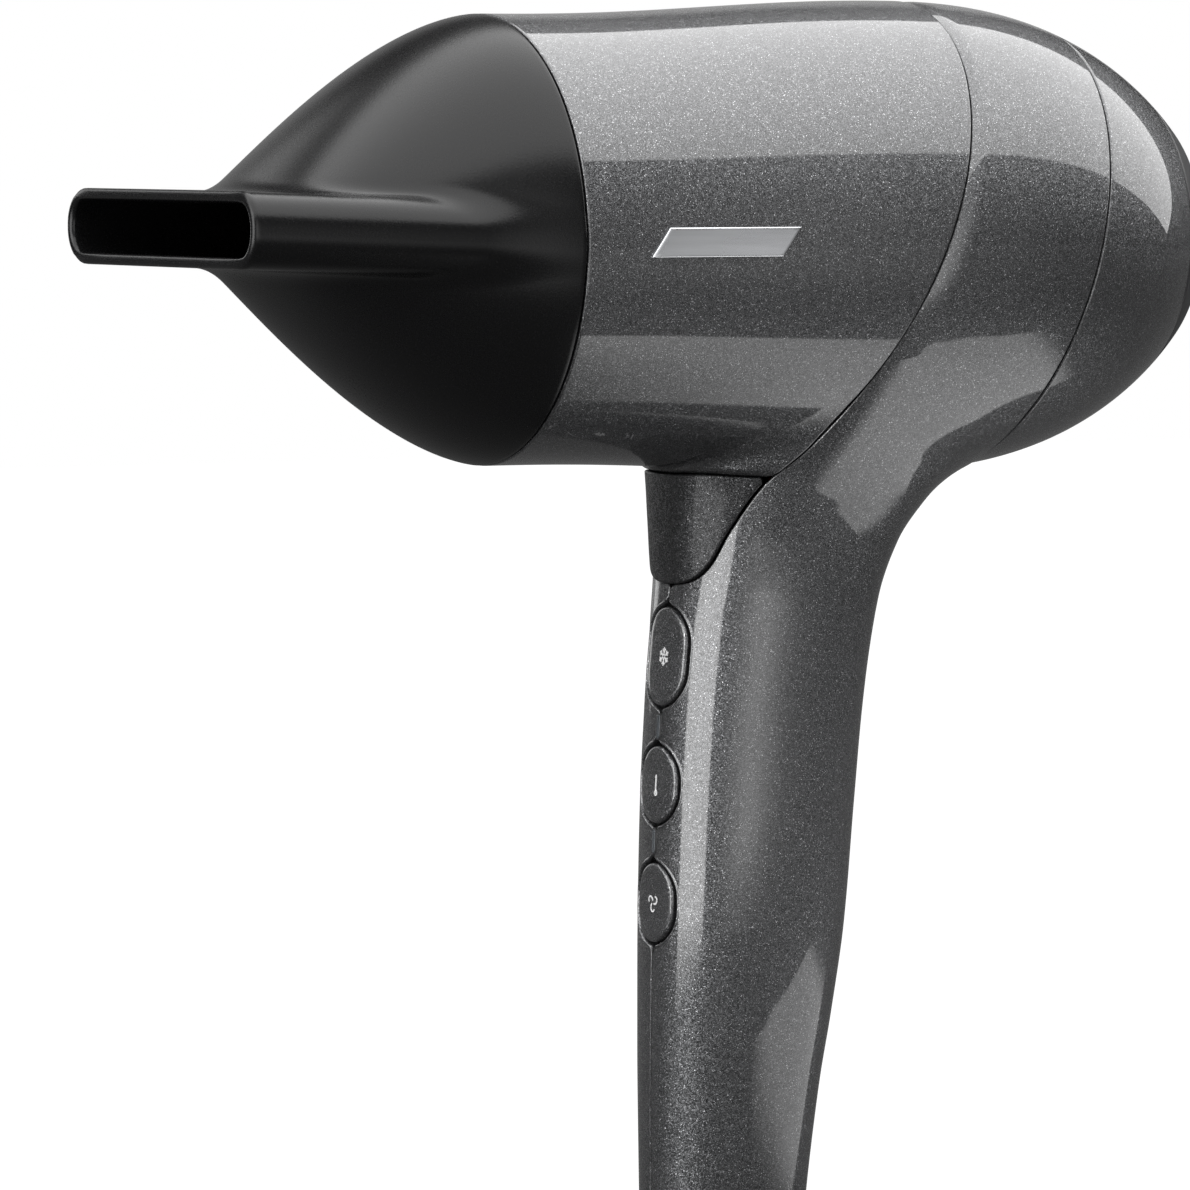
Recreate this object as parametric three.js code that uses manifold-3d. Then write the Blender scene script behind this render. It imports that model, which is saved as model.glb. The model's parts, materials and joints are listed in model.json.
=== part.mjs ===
// A hair dryer with a pull-off, turning concentrator nozzle, three handle buttons and a pull-off
// intake filter. Millimetres. X runs along the barrel with the nozzle at -X, Y is across, Z is up,
// and Z = 0 is the handle's end face.
import * as THREE from "three";
import { mergeVertices } from "three/addons/utils/BufferGeometryUtils.js";
import Module from "manifold-3d";

const wasm = await Module();
wasm.setup();

// ---------------------------------------------------------------- driving dimensions

// Shell
const axisZ = 192; // barrel axis above the handle's end face
const frontX = -40.1; // front edge of the barrel
const frontR = 41.7; // barrel radius at its front edge
const wideX = 44.1; // where the barrel is widest
const wideR = 44.7; // barrel radius there
const domeLength = 76; // from the widest place to the pole of the rear dome
const capEndX = 98; // where the rear cap ends and the filter cover starts
const intakeX = 105.9; // outer face of the intake grille
const wall = 2.2; // shell wall
const gap = 0.3; // between two pieces that touch
const runningGap = 0.7; // round what turns or slides
const capSeatInset = 6; // the rear cap's inner shelf, in front of its end
const capSeatWidth = 6.9; // how far that shelf reaches in from the wall
const capSeatThickness = 2;

// Handle: each station is [share of the grip's length, front, rear, half width] from its end up
const handleX = 11.9; // the handle's axis
const neckDepth = 68; // barrel axis down to the top of the grip
const gripStations = [
  [0, -14.9, 14.9, 13.4],
  [0.11, -15.3, 16.2, 14],
  [0.27, -15.4, 18.8, 15.2],
  [0.36, -15.3, 20.8, 16],
  [0.51, -15, 23.6, 17.2],
  [0.69, -14.4, 25.6, 17.8],
  [0.85, -13.3, 27.6, 18.1],
  [1, -11.9, 30.7, 18.8],
];
// The neck flares into the barrel: [depth below the axis in barrel radii, front, rear, half width,
// also in barrel radii]
const neckStations = [
  [1.275, -12.4, 35, 0.45],
  [1.096, -12.6, 41, 0.501],
  [0.94, -12.6, 47.5, 0.57],
  [0.76, -12.6, 56, 0.66],
  [0.49, -12.6, 60, 0.76],
];
const handleSquareness = 2.35; // exponent of the handle's section; 2 is an ellipse

// Seams in side view, as [x, height from the barrel axis]
const frontSeam = [
  [53, 60],
  [49.4, 44],
  [42.9, 22],
  [34.9, 0],
  [25.1, -22],
  [16.5, -38],
  [9.4, -46],
  [5.1, -54.6],
  [2.1, -62.4],
  [-1.5, -66],
  [-8, -67],
];
const rearSeamX = 69.9; // where the rear seam crosses the barrel axis
const rearSeamSlope = 0.25; // x per millimetre of height

// Nozzle
const nozzleLength = 65.8; // barrel edge to mouth
const shoulderLength = 55; // barrel edge to where the round shoulder dies into the blade
const shoulderNarrowing = 20.3; // what the shoulder's half width loses on the way
const mouthHalfWidth = 38.5;
const bladeRootHalfWidth = 41;
const bladeHalfHeight = 7;
const bladeCornerR = 5;
const nozzleLipLength = 1.6; // inner lip that runs on the collar's neck
const mouthRise = 2.1; // the mouth's centre above the barrel axis
const nozzleWall = 2.2;

// Snap collar between nozzle and barrel, and the fixed spigot inside it
const collarSeatX = -27.4; // the collar's rear end, against the spigot's flange
const collarNose = 5.9; // how far the collar reaches past the barrel's edge
const collarNeckWall = 1.3;
const collarNeckInset = 2.6; // the neck inside the nozzle's wall
const collarBeadHeight = 1;
const spigotWall = 1.8;
const spigotFlange = 3;
const spigotShort = 2; // how far the spigot stops behind the collar's nose
const grilleInset = 2; // the finger guard behind the barrel's edge
const grilleThickness = 2.4;
const grilleBar = 1.6;
const nozzlePull = 32; // travel that takes the nozzle off

// Heater
const heaterFrontX = -32;
const heaterRearX = 24;
const heaterTubeWall = 0.8;
const boardThickness = 0.8;
const boardFrontInset = 4;
const boardRearInset = 2;
const coilWireR = 0.6;
const coilTurns = 6;
const coilInset = 6; // from the heater's front end to the first coil
const coilSpacing = 4; // between the two coils
const coilRoom = 6.9; // between the coils and the tube round them

const thermostatR = 5.5;
const thermostatHeight = 4.5;
const fuseR = 1.7;
const fuseLength = 11;

// Fan duct, motor and fan
const ductFrontX = 32;
const ductRearX = 78;
const ductRoom = 2.5; // between the duct's rear end and the shell, where the seal sits
const ductWall = 2;
const ductFlange = 2;
const sealLength = 4;
const sealInset = 7; // the seal's front face, in front of the duct's rear end
const vaneCount = 7;
const vaneLength = 14;
const vaneThickness = 1.4;
const hubWall = 1.6; // sleeve round the motor
const motorR = 17;
const motorFrontX = 36.5;
const motorLength = 23;
const motorWall = 1.2;
const endPlateThickness = 2;
const rotorR = 10.5;
const rotorFrontInset = 6;
const rotorRearInset = 5;
const commutatorR = 3.4;
const commutatorLength = 4;
const shaftR = 1.2;
const shaftOverhang = 3; // in front of the motor
const bushR = 4;
const bushLength = 3.2;
const rectifierThickness = 1.5;
const diodeSize = [3, 4.8, 2.8];
const diodeRing = 10.2; // the four diodes' distance from the shaft
const fanFrontX = 64;
const fanLength = 12;
const fanHubR = 14;
const hubFace = 2.4; // thickness of the hub's rear face
const hubRound = 3; // chamfer round that face
const hubBossR = 4;
const hubBossLength = 6;
const bladeCount = 9;
const bladeThickness = 1.3;
const bladePitchDeg = 38;

// Intake
const guardThickness = 2;
const guardBar = 1.8;
const guardReach = 3; // how far the guard laps the rear cap's shelf
const coverWall = 1.6;
const coverFace = 2.2;
const coverEdge = 1.2; // chamfer between the cover's dome and its face
const skirtLength = 3.6; // how far the cover plugs into the rear cap
const slotHalf = 1.3;
const meshThickness = 0.6;
const meshPitch = 7.2;
const meshHole = 5.6;

// Buttons: [name, depth below the barrel axis, height, width]
const buttons = [
  ["cool_shot", 78.4, 18.6, 15.6],
  ["temperature", 102.5, 14.6, 14.2],
  ["speed", 124.7, 15, 13.2],
];
const buttonTravel = 1.2;
const buttonProud = 0.5; // how far a cap stands out of the handle
const buttonGap = 0.35; // round each cap
const buttonFlange = 1; // how far the hidden flange reaches past the cap
const buttonBack = 5; // depth of the flange's back face behind the handle's front
const stemR = 2.2;
const springWireR = 0.25;
const springTurns = 3;

// Carrier, board and switches behind the buttons
const carrierX = 8.9;
const carrierThickness = 1.5;
const boardTopDepth = 68;
const boardLength = 68;
const boardHalfWidth = 11;
const boardX = 16.3;
const circuitThickness = 1.6;
const switchSize = 6;
const switchDepth = 3.5;
const plungerR = 1.7;
const plungerLength = 1;

// Indicator windows between the buttons: depth below the barrel axis
const indicatorDepths = [91.6, 113.1];
const indicatorHeight = 4.2;
const indicatorHalfWidth = 0.5;

// Handle end
const endPlate = 2.6;
const endSkirt = 8;
const cordHoleR = 3.3;
const endSkirtWall = 1.5;
const cordBushR = 5.6;
const cordBushLength = 16;
const cordBushFlange = 2; // how far its hidden flange reaches past the tube
const cordBushInset = 0.2; // the bush's end, behind the end face

// Fasteners
const screwR = 1.5;
const screwHeadR = 3;
const screwHeadHeight = 1.9;
const crossReach = 2; // cross recess in a screw's head
const crossHalf = 0.4;
const crossDepth = 1;
const bossR = 5;
const headSeatY = 6.5; // where a housing screw's head rests, from the parting plane
const housingScrewLength = 16;
const housingScrews = [
  [handleX + 2, 34],
  [handleX + 19, axisZ - 60],
];
const clampZ = 22;
const clampHeight = 7;
const clampScrewSpread = 6.4;
const clampScrewLength = 14;
const clampPostR = 3;
const clampBackY = 3;
const clampHeadRoom = 4.2; // from a clamp screw's head to the right half's wall

// Leads
const leadR = 1.1;
const leadSpread = 4.5;

// Blank plate on the barrel's near side
const plateX = -11.8;
const plateLength = 27;
const plateHeight = 5.4;
const plateProud = 0.6;
const plateLean = 1.9; // half of what the lozenge leans over

const around = 32; // facets round the barrel
const handleFacets = 22; // facets round the handle

// ---------------------------------------------------------------- solids from geometry

// A closed geometry as a solid that can be joined and cut.
function solid(geometry) {
  const bare = geometry.clone();
  bare.deleteAttribute("normal");
  bare.deleteAttribute("uv");
  const merged = mergeVertices(bare, 1e-4);
  return new wasm.Manifold(
    new wasm.Mesh({
      numProp: 3,
      vertProperties: merged.attributes.position.array,
      triVerts: new Uint32Array(merged.index.array),
    }),
  );
}

function geometryOf(body) {
  const mesh = body.getMesh();
  const geometry = new THREE.BufferGeometry();
  geometry.setAttribute("position", new THREE.BufferAttribute(mesh.vertProperties, 3));
  geometry.setIndex(new THREE.BufferAttribute(mesh.triVerts, 1));
  return geometry;
}

const join = (...bodies) => bodies.reduce((a, b) => a.add(b));
const cut = (body, ...tools) => tools.reduce((a, b) => a.subtract(b), body);

// A profile of [x, r] points turned about the barrel axis.
function turned(profile, facets = around) {
  const points = profile.map(([x, r]) => new THREE.Vector2(r, x));
  const closed = profile[0][1] > 0;
  if (closed) points.push(points[0].clone());
  if (THREE.ShapeUtils.area(points) < 0) points.reverse();
  const lathe = new THREE.LatheGeometry(points, facets);
  return solid(lathe.rotateZ(-Math.PI / 2).translate(0, 0, axisZ));
}

const ring = (x0, x1, inner, outer, facets) =>
  turned([[x0, outer], [x1, outer], [x1, inner], [x0, inner]], facets);

const disc = (x0, x1, r, facets) =>
  turned([[x0, 0], [x0, r], [x1, r], [x1, 0]], facets);

function box(low, high) {
  const size = high.map((v, i) => v - low[i]);
  const middle = high.map((v, i) => (v + low[i]) / 2);
  return solid(new THREE.BoxGeometry(...size).translate(...middle));
}

// A round bar between two points.
function rod(r, from, to, facets = 16) {
  const a = new THREE.Vector3(...from);
  const b = new THREE.Vector3(...to);
  const bar = new THREE.CylinderGeometry(r, r, a.distanceTo(b), facets);
  const turn = new THREE.Quaternion().setFromUnitVectors(
    new THREE.Vector3(0, 1, 0),
    b.clone().sub(a).normalize(),
  );
  const middle = a.add(b).multiplyScalar(0.5);
  return solid(bar.applyQuaternion(turn).translate(middle.x, middle.y, middle.z));
}

// A side-view outline of [x, z] points carried across from y0 to y1.
function slab(outline, y0, y1) {
  const shape = new THREE.Shape(outline.map(([x, z]) => new THREE.Vector2(x, z)));
  const plate = new THREE.ExtrudeGeometry(shape, { depth: y1 - y0, bevelEnabled: false });
  return solid(plate.rotateX(Math.PI / 2).translate(0, y1, 0));
}

// A front-view outline of [y, z] points carried along X from x0 to x1.
function bar(outline, x0, x1) {
  const shape = new THREE.Shape(outline.map(([y, z]) => new THREE.Vector2(y, z)));
  const plate = new THREE.ExtrudeGeometry(shape, { depth: x1 - x0, bevelEnabled: false });
  plate.applyMatrix4(new THREE.Matrix4().set(0, 0, 1, x0, 1, 0, 0, 0, 0, 1, 0, 0, 0, 0, 0, 1));
  return solid(plate);
}

// A closed skin over a row of sections: place(v, station, angle, reach) puts each point, with
// reach 0 at the middle of an end and 1 on the outline.
function loft(stations, facets, place) {
  const rows = stations.length - 1;
  const skin = new THREE.CylinderGeometry(1, 1, rows, facets, rows);
  const points = skin.attributes.position;
  const v = new THREE.Vector3();
  for (let i = 0; i < points.count; i++) {
    v.fromBufferAttribute(points, i);
    const station = stations[Math.round(v.y + rows / 2)];
    place(v, station, Math.atan2(v.z, v.x), Math.hypot(v.x, v.z) > 0.5 ? 1 : 0);
    points.setXYZ(i, v.x, v.y, v.z);
  }
  return solid(skin);
}

// A wire of round section along a curve.
function wire(curve, r, steps, sides) {
  const section = new THREE.Shape();
  for (let i = 0; i < sides; i++) {
    const a = (2 * Math.PI * i) / sides;
    section[i ? "lineTo" : "moveTo"](r * Math.cos(a), r * Math.sin(a));
  }
  section.closePath();
  return solid(new THREE.ExtrudeGeometry(section, { steps, extrudePath: curve }));
}

// A coil about an axis along X.
class Coil extends THREE.Curve {
  constructor(x0, x1, r, turns, centreZ) {
    super();
    Object.assign(this, { x0, x1, r, turns, centreZ });
  }
  getPoint(t, target = new THREE.Vector3()) {
    const a = 2 * Math.PI * this.turns * t;
    return target.set(
      this.x0 + (this.x1 - this.x0) * t,
      this.r * Math.sin(a),
      this.centreZ + this.r * Math.cos(a),
    );
  }
}

const spread = (from, to, steps) =>
  Array.from({ length: steps + 1 }, (_, i) => from + ((to - from) * i) / steps);

// ---------------------------------------------------------------- shell shapes

// Outer radius of barrel, cap and filter cover at x.
function bodyR(x) {
  if (x <= wideX) {
    const u = Math.max(0, (x - frontX) / (wideX - frontX));
    return frontR + (wideR - frontR) * Math.sin((Math.PI / 2) * u) ** 2.6;
  }
  const w = Math.min(1, (x - wideX) / domeLength);
  return wideR * (1 - w ** 2.56) ** (1 / 1.28);
}

// The round body runs straight between these places.
const bodyStops = [...spread(frontX, wideX, 4), ...spread(wideX, intakeX, 8).slice(1)];

function straightR(x) {
  const i = Math.max(1, bodyStops.findIndex((stop) => stop >= x));
  const [a, b] = [bodyStops[i - 1], bodyStops[i]];
  return bodyR(a) + ((bodyR(b) - bodyR(a)) * (x - a)) / (b - a);
}

const innerR = (x) => straightR(x) - wall;

// The barrel's round body from x0 to x1, smaller by inset.
function roundBody(inset, x0, x1) {
  const stops = [x0, ...bodyStops.filter((x) => x > x0 && x < x1), x1];
  return turned([[x0, 0], ...stops.map((x) => [x, straightR(x) - inset]), [x1, 0]]);
}

const handleStations = [
  ...gripStations.map(([share, ...rest]) => [share * (axisZ - neckDepth), ...rest]),
  ...neckStations.map(([depth, front, rear, half]) => [
    axisZ - depth * wideR, front, rear, half * wideR,
  ]),
];

// The front, rear and half width of the handle at height z.
function handleAt(z) {
  const last = handleStations.length - 1;
  let i = handleStations.findIndex(([h]) => h > z);
  if (i < 1) i = z < handleStations[0][0] ? 1 : last;
  const [a, b] = [handleStations[i - 1], handleStations[i]];
  const t = Math.min(1, Math.max(0, (z - a[0]) / (b[0] - a[0])));
  return [1, 2, 3].map((k) => a[k] + (b[k] - a[k]) * t);
}

const handleFront = (z) => handleX + handleAt(z)[0];

const power = (v) => Math.sign(v) * Math.abs(v) ** (2 / handleSquareness);

// The handle, smaller by inset all round; its ends reach past the stations by over.
function handleBody(inset, over = 0) {
  const stations = handleStations.map(([z, ...rest]) => [z, ...rest]);
  stations[0][0] -= over;
  stations[stations.length - 1][0] += over;
  return loft(stations, handleFacets, (v, [z, front, rear, half], angle, reach) => {
    const depth = (rear - front) / 2 - inset;
    const x = handleX + (front + rear) / 2 + reach * depth * power(Math.cos(angle));
    v.set(x, -reach * (half - inset) * power(Math.sin(angle)), z);
  });
}

// Everything in front of the front seam, moved back by shift.
function beforeFrontSeam(shift) {
  const run = new THREE.SplineCurve(frontSeam.map(([x, h]) => new THREE.Vector2(x, h)));
  const seam = run.getPoints(30).map((p) => [p.x + shift, axisZ + p.y]);
  const farX = -3 * nozzleLength;
  const last = seam[seam.length - 1];
  return slab([...seam, [farX, last[1]], [farX, seam[0][1]]], -2 * wideR, 2 * wideR);
}

// Everything in front of the rear seam, moved back by shift, and everything below the barrel.
function beforeRearSeam(shift) {
  const at = (h) => [rearSeamX + rearSeamSlope * h + shift, axisZ + h];
  const farX = 3 * nozzleLength;
  const below = [[farX, axisZ - wideR], [farX, -axisZ], [-farX, -axisZ], [-farX, axisZ + 2 * wideR]];
  return slab([at(2 * wideR), at(-wideR), ...below], -2 * wideR, 2 * wideR);
}

const bodyOuter = roundBody(0, frontX, capEndX);
const bodyInner = roundBody(wall, frontX - 1, capEndX + 1);
const handleOuter = handleBody(0);
const handleInner = handleBody(wall, 2);
const beforeFront = beforeFrontSeam(-gap / 2);
const beforeRear = beforeRearSeam(-gap / 2);

// ---------------------------------------------------------------- shell pieces

function barrelShell() {
  const shell = cut(bodyOuter, bodyInner).intersect(beforeFront);
  return cut(shell, plateBody(gap / 2));
}

// The blank plate: a leaning lozenge bent round the barrel, let into its wall.
function plateBody(grow) {
  const halfL = plateLength / 2 + grow;
  const halfH = plateHeight / 2 + grow;
  const outline = [
    [plateX - halfL - plateLean, axisZ - halfH],
    [plateX + halfL - plateLean, axisZ - halfH],
    [plateX + halfL + plateLean, axisZ + halfH],
    [plateX - halfL + plateLean, axisZ + halfH],
  ];
  const sunk = wall / 2 + grow;
  const band = cut(roundBody(-plateProud, frontX, wideX), roundBody(sunk, frontX - 1, wideX + 1));
  return band.intersect(slab(outline, -2 * wideR, 0));
}

function neckInsert() {
  const neck = cut(handleOuter, handleInner).intersect(beforeFront);
  return cut(neck, roundBody(-gap, frontX - 1, capEndX));
}

function screwPlaces(side) {
  const inward = (z) => side * handleAt(z)[2];
  return housingScrews.map(([x, z]) => ({ x, z, wallY: inward(z) }));
}

function housing(side) {
  const whole = cut(join(bodyOuter, handleOuter), bodyInner, handleInner);
  const behind = cut(whole, beforeFrontSeam(gap / 2)).intersect(beforeRear);
  const half = box([-300, gap / 2, endPlate + gap], [300, 3 * wideR, 2 * axisZ]);
  const bossFloor = handleOuter.intersect(
    join(
      ...screwPlaces(side).map(({ x, z }) => rod(bossR, [x, 0, z], [x, side * 2 * wideR, z], 20)),
      ...(side < 0 ? clampPosts() : []),
    ),
  );
  const bores = screwPlaces(side).map(({ x, z, wallY }) =>
    rod(screwR + gap, [x, -side, z], [x, side > 0 ? headSeatY + 1 : wallY + wall, z]),
  );
  const heads = screwPlaces(side).map(({ x, z }) =>
    rod(screwHeadR + gap, [x, headSeatY, z], [x, 2 * wideR, z], 20),
  );
  const body = join(behind, bossFloor).intersect(side > 0 ? half : half.mirror([0, 1, 0]));
  const cleared = cut(body, ...bores, ...(side > 0 ? heads : clampBores()));
  return cut(cleared, ...buttons.map((b) => buttonPrism(b, buttonGap)), ...indicatorSlots(gap));
}

const seatX = capEndX - capSeatInset;
const seatInnerR = innerR(seatX) - capSeatWidth;

function rearCap() {
  const shell = cut(cut(bodyOuter, bodyInner), beforeRearSeam(gap / 2));
  const end = seatX + capSeatThickness;
  const seat = ring(seatX, end, seatInnerR, straightR(end) - wall / 2);
  return join(shell, seat);
}

// ---------------------------------------------------------------- handle end

function handleEndCap() {
  const plate = handleOuter.intersect(box([-300, -300, 0], [300, 300, endPlate]));
  const skirtOuter = handleBody(wall + gap, 2).intersect(box([-300, -300, 1], [300, 300, endSkirt]));
  const skirtInner = handleBody(wall + gap + endSkirtWall, 2).intersect(
    box([-300, -300, endPlate], [300, 300, 2 * endSkirt]),
  );
  const hole = rod(cordBushR + gap, [handleX, 0, -1], [handleX, 0, endSkirt], 24);
  return cut(join(plate, skirtOuter), skirtInner, hole);
}

// The rubber bush for the supply cord, flanged behind the end plate.
function cordBush() {
  const at = (z) => [handleX, 0, z];
  const flangeZ = endPlate + gap;
  const tube = rod(cordBushR, at(cordBushInset), at(cordBushLength), 24);
  const flange = rod(cordBushR + cordBushFlange, at(flangeZ), at(flangeZ + endSkirtWall), 24);
  return cut(join(tube, flange), rod(cordHoleR, at(-1), at(cordBushLength + 1), 24));
}

const clampScrewXs = [handleX - clampScrewSpread, handleX + clampScrewSpread];
const clampMiddleZ = clampZ + clampHeight / 2;
const clampFaceY = handleAt(clampMiddleZ)[2] - wall - clampHeadRoom - screwHeadHeight;

function clampPosts() {
  return clampScrewXs.map((x) =>
    rod(clampPostR, [x, -2 * wideR, clampMiddleZ], [x, -gap / 2, clampMiddleZ]),
  );
}

function clampBores() {
  return clampScrewXs.map((x) =>
    rod(screwR + gap, [x, -clampScrewLength, clampMiddleZ], [x, 1, clampMiddleZ]),
  );
}

// The bar that holds the cord down between its two screws.
function cordClamp() {
  const bar = box(
    [handleX - clampScrewSpread - clampPostR, clampBackY, clampZ],
    [handleX + clampScrewSpread + clampPostR, clampFaceY, clampZ + clampHeight],
  );
  const arch = rod(cordHoleR, [handleX, clampBackY - 1, 0], [handleX, clampBackY - 1, axisZ]);
  const holes = clampScrewXs.map((x) =>
    rod(screwR + gap, [x, 0, clampMiddleZ], [x, clampFaceY + 1, clampMiddleZ]),
  );
  return cut(bar, arch, ...holes);
}

// A pan-head screw along Y with a cross recess, its seat at y and its point at y - length.
function screw(x, y, z, length) {
  const body = join(
    rod(screwR, [x, y - length, z], [x, y + screwHeadHeight / 2, z], 12),
    rod(screwHeadR, [x, y, z], [x, y + screwHeadHeight, z], 20),
  );
  const top = y + screwHeadHeight;
  const slots = [[crossReach, crossHalf], [crossHalf, crossReach]].map(([w, h]) =>
    box([x - w, top - crossDepth, z - h], [x + w, top + 1, z + h]),
  );
  return cut(body, ...slots);
}

// ---------------------------------------------------------------- buttons

// The stadium outline of a button, larger by grow, carried from in front of the handle to its hollow.
function buttonPrism([, depth, height, width], grow, reach = 9) {
  const z = axisZ - depth;
  const r = Math.min(height, width) / 2;
  const [side, rise] = [width / 2 - r, height / 2 - r];
  const shape = new THREE.Shape();
  for (const [quarter, y, h] of [[0, side, rise], [1, -side, rise], [2, -side, -rise], [3, side, -rise]]) {
    shape.absarc(y, h, r + grow, (quarter * Math.PI) / 2, ((quarter + 1) * Math.PI) / 2, false);
  }
  const outline = shape.getPoints(3).map((p) => [p.x, z + p.y]);
  return bar(outline, handleFront(z) - reach, handleFront(z) + reach);
}

const flangeBackX = ([, depth]) => handleFront(axisZ - depth) + buttonBack;

const switchX = boardX - circuitThickness / 2 - switchDepth; // front face of a switch's case
const plungerX = switchX - plungerLength;

function buttonCap(button) {
  const z = axisZ - button[1];
  const backX = flangeBackX(button);
  const front = box([-300, -300, z - 40], [backX, 300, z + 40]);
  const cap = buttonPrism(button, 0).intersect(handleBody(-buttonProud));
  const flange = buttonPrism(button, buttonFlange).intersect(handleBody(wall + gap));
  const stem = rod(stemR, [backX - 1, 0, z], [plungerX - buttonTravel - gap / 2, 0, z]);
  return join(cap.intersect(front), flange.intersect(front), stem);
}

// The return spring round the stem, from the carrier to the cap's flange.
function buttonSpring(button) {
  const x0 = flangeBackX(button) + gap + springWireR;
  const x1 = carrierX - gap - springWireR;
  const coil = new Coil(x0, x1, stemR + 2 * gap + springWireR, springTurns, axisZ - button[1]);
  return wire(coil, springWireR, springTurns * 8, 5);
}

function buttonCarrier() {
  const top = axisZ - boardTopDepth;
  const plate = box(
    [carrierX, -boardHalfWidth, top - boardLength],
    [carrierX + carrierThickness, boardHalfWidth, top],
  );
  const holes = buttons.map(([, depth]) =>
    rod(stemR + gap, [carrierX - 1, 0, axisZ - depth], [carrierX + 9, 0, axisZ - depth]),
  );
  return cut(plate, ...holes);
}

function controlBoard() {
  const top = axisZ - boardTopDepth;
  const half = circuitThickness / 2;
  return box([boardX - half, -boardHalfWidth, top - boardLength], [boardX + half, boardHalfWidth, top]);
}

function tactSwitch([, depth]) {
  const z = axisZ - depth;
  const half = switchSize / 2;
  const rear = boardX - circuitThickness / 2 - gap;
  const body = box([switchX, -half, z - half], [rear, half, z + half]);
  return join(body, rod(plungerR, [plungerX, 0, z], [switchX + 1, 0, z]));
}

function indicatorSlots(grow) {
  return indicatorDepths.map((depth) => {
    const z = axisZ - depth;
    const half = indicatorHalfWidth + grow;
    const tall = indicatorHeight / 2 + grow;
    return box([handleFront(z) - 5, -half, z - tall], [handleFront(z) + 6, half, z + tall]);
  });
}

function indicatorLens(depth) {
  const z = axisZ - depth;
  const tall = indicatorHeight / 2;
  const half = indicatorHalfWidth;
  return box([handleFront(z) + 0.2, -half, z - tall], [handleFront(z) + wall + 1, half, z + tall]);
}

// ---------------------------------------------------------------- nozzle, collar and spigot

// Half height and half width of the round shoulder, u in front of the barrel's edge.
function shoulder(u) {
  const t = Math.max(0, u) / shoulderLength;
  return [frontR * Math.max(0, 1 - t ** 1.55), frontR - shoulderNarrowing * t ** 1.58];
}

const nozzleLift = (u) => (mouthRise * Math.max(0, u)) / nozzleLength;

function shoulderBody(inset, uRear) {
  const last = shoulderLength - 1;
  const us = [uRear, ...spread(4, last, 6)].reverse();
  return loft(us, around, (v, u, angle, reach) => {
    const [high, half] = shoulder(u).map((r) => Math.max(0.4, r - inset));
    const y = reach * half * Math.cos(angle);
    v.set(frontX - u, -y, axisZ + nozzleLift(u) + reach * high * Math.sin(angle));
  });
}

function bladeBody(inset, uRear, uMouth) {
  const side = (c) => (Math.abs(c) < 1e-6 ? 0 : Math.sign(c));
  const us = spread(uMouth, uRear, 2);
  return loft(us, 24, (v, u, angle, reach) => {
    const t = Math.max(0, u) / nozzleLength;
    const half = bladeRootHalfWidth + (mouthHalfWidth - bladeRootHalfWidth) * t - inset;
    const high = bladeHalfHeight - inset;
    const r = Math.max(1, bladeCornerR - inset);
    const c = Math.cos(angle);
    const s = Math.sin(angle);
    const y = reach * (side(c) * (half - r) + r * c);
    v.set(frontX - u, -y, axisZ + nozzleLift(u) + reach * (side(s) * (high - r) + r * s));
  });
}

const nozzleRearU = gap;
const collarOuterR = frontR - wall - gap; // sleeve inside the barrel's mouth
const collarNeckR = frontR - nozzleWall - collarNeckInset; // neck that the nozzle turns on
const collarInnerR = collarNeckR - collarNeckWall;
const spigotR = collarInnerR - gap;
const spigotInnerR = spigotR - spigotWall;

function nozzle() {
  const outer = join(shoulderBody(0, nozzleRearU), bladeBody(0, nozzleRearU + 4, nozzleLength));
  const inner = join(shoulderBody(nozzleWall, -1), bladeBody(nozzleWall, 4, nozzleLength + 1));
  const lipX = frontX - nozzleRearU;
  const lip = ring(lipX - nozzleLipLength, lipX, collarNeckR + gap, frontR - nozzleWall / 2);
  return join(cut(outer, inner), lip);
}

// The snap collar: a sleeve in the barrel's mouth with a beaded neck for the nozzle to turn on.
function nozzleCollar() {
  const noseX = frontX - collarNose;
  const stepX = frontX + 2 * gap;
  const beadR = collarNeckR + collarBeadHeight;
  return turned([
    [collarSeatX, collarInnerR],
    [collarSeatX, collarOuterR],
    [stepX, collarOuterR],
    [stepX, collarNeckR],
    [noseX + 2.6, collarNeckR],
    [noseX + 1.8, beadR],
    [noseX + 1, beadR],
    [noseX, collarNeckR - 0.3],
    [noseX, collarInnerR],
  ]);
}

function outletSpigot() {
  const flangeX = collarSeatX + gap;
  return turned([
    [frontX - collarNose + spigotShort, spigotR],
    [flangeX, spigotR],
    [flangeX, innerR(flangeX) - gap],
    [flangeX + spigotFlange, innerR(flangeX) - gap],
    [flangeX + spigotFlange, spigotInnerR],
    [frontX - collarNose + spigotShort, spigotInnerR],
  ]);
}

// The finger guard inside the spigot: rings joined by spokes.
function outletGrille() {
  const x0 = frontX + grilleInset;
  const x1 = x0 + grilleThickness;
  const r = spigotInnerR - gap;
  const rings = [r, r * 0.6].map((outer) => ring(x0, x1, outer - grilleBar, outer, 24));
  const spokes = [0, 1, 2].map((i) =>
    solid(
      new THREE.BoxGeometry(grilleThickness - 0.4, 2 * r - 1, grilleBar)
        .rotateX((i * Math.PI) / 3)
        .translate((x0 + x1) / 2, 0, axisZ),
    ),
  );
  return join(...rings, ...spokes);
}

// ---------------------------------------------------------------- heater

const heaterTubeR = spigotInnerR - gap;
const coilR = heaterTubeR - heaterTubeWall - coilRoom;
const boardHalf = coilR - coilWireR - 2 * gap;

const heaterTube = () => ring(heaterFrontX, heaterRearX, heaterTubeR - heaterTubeWall, heaterTubeR);

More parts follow.
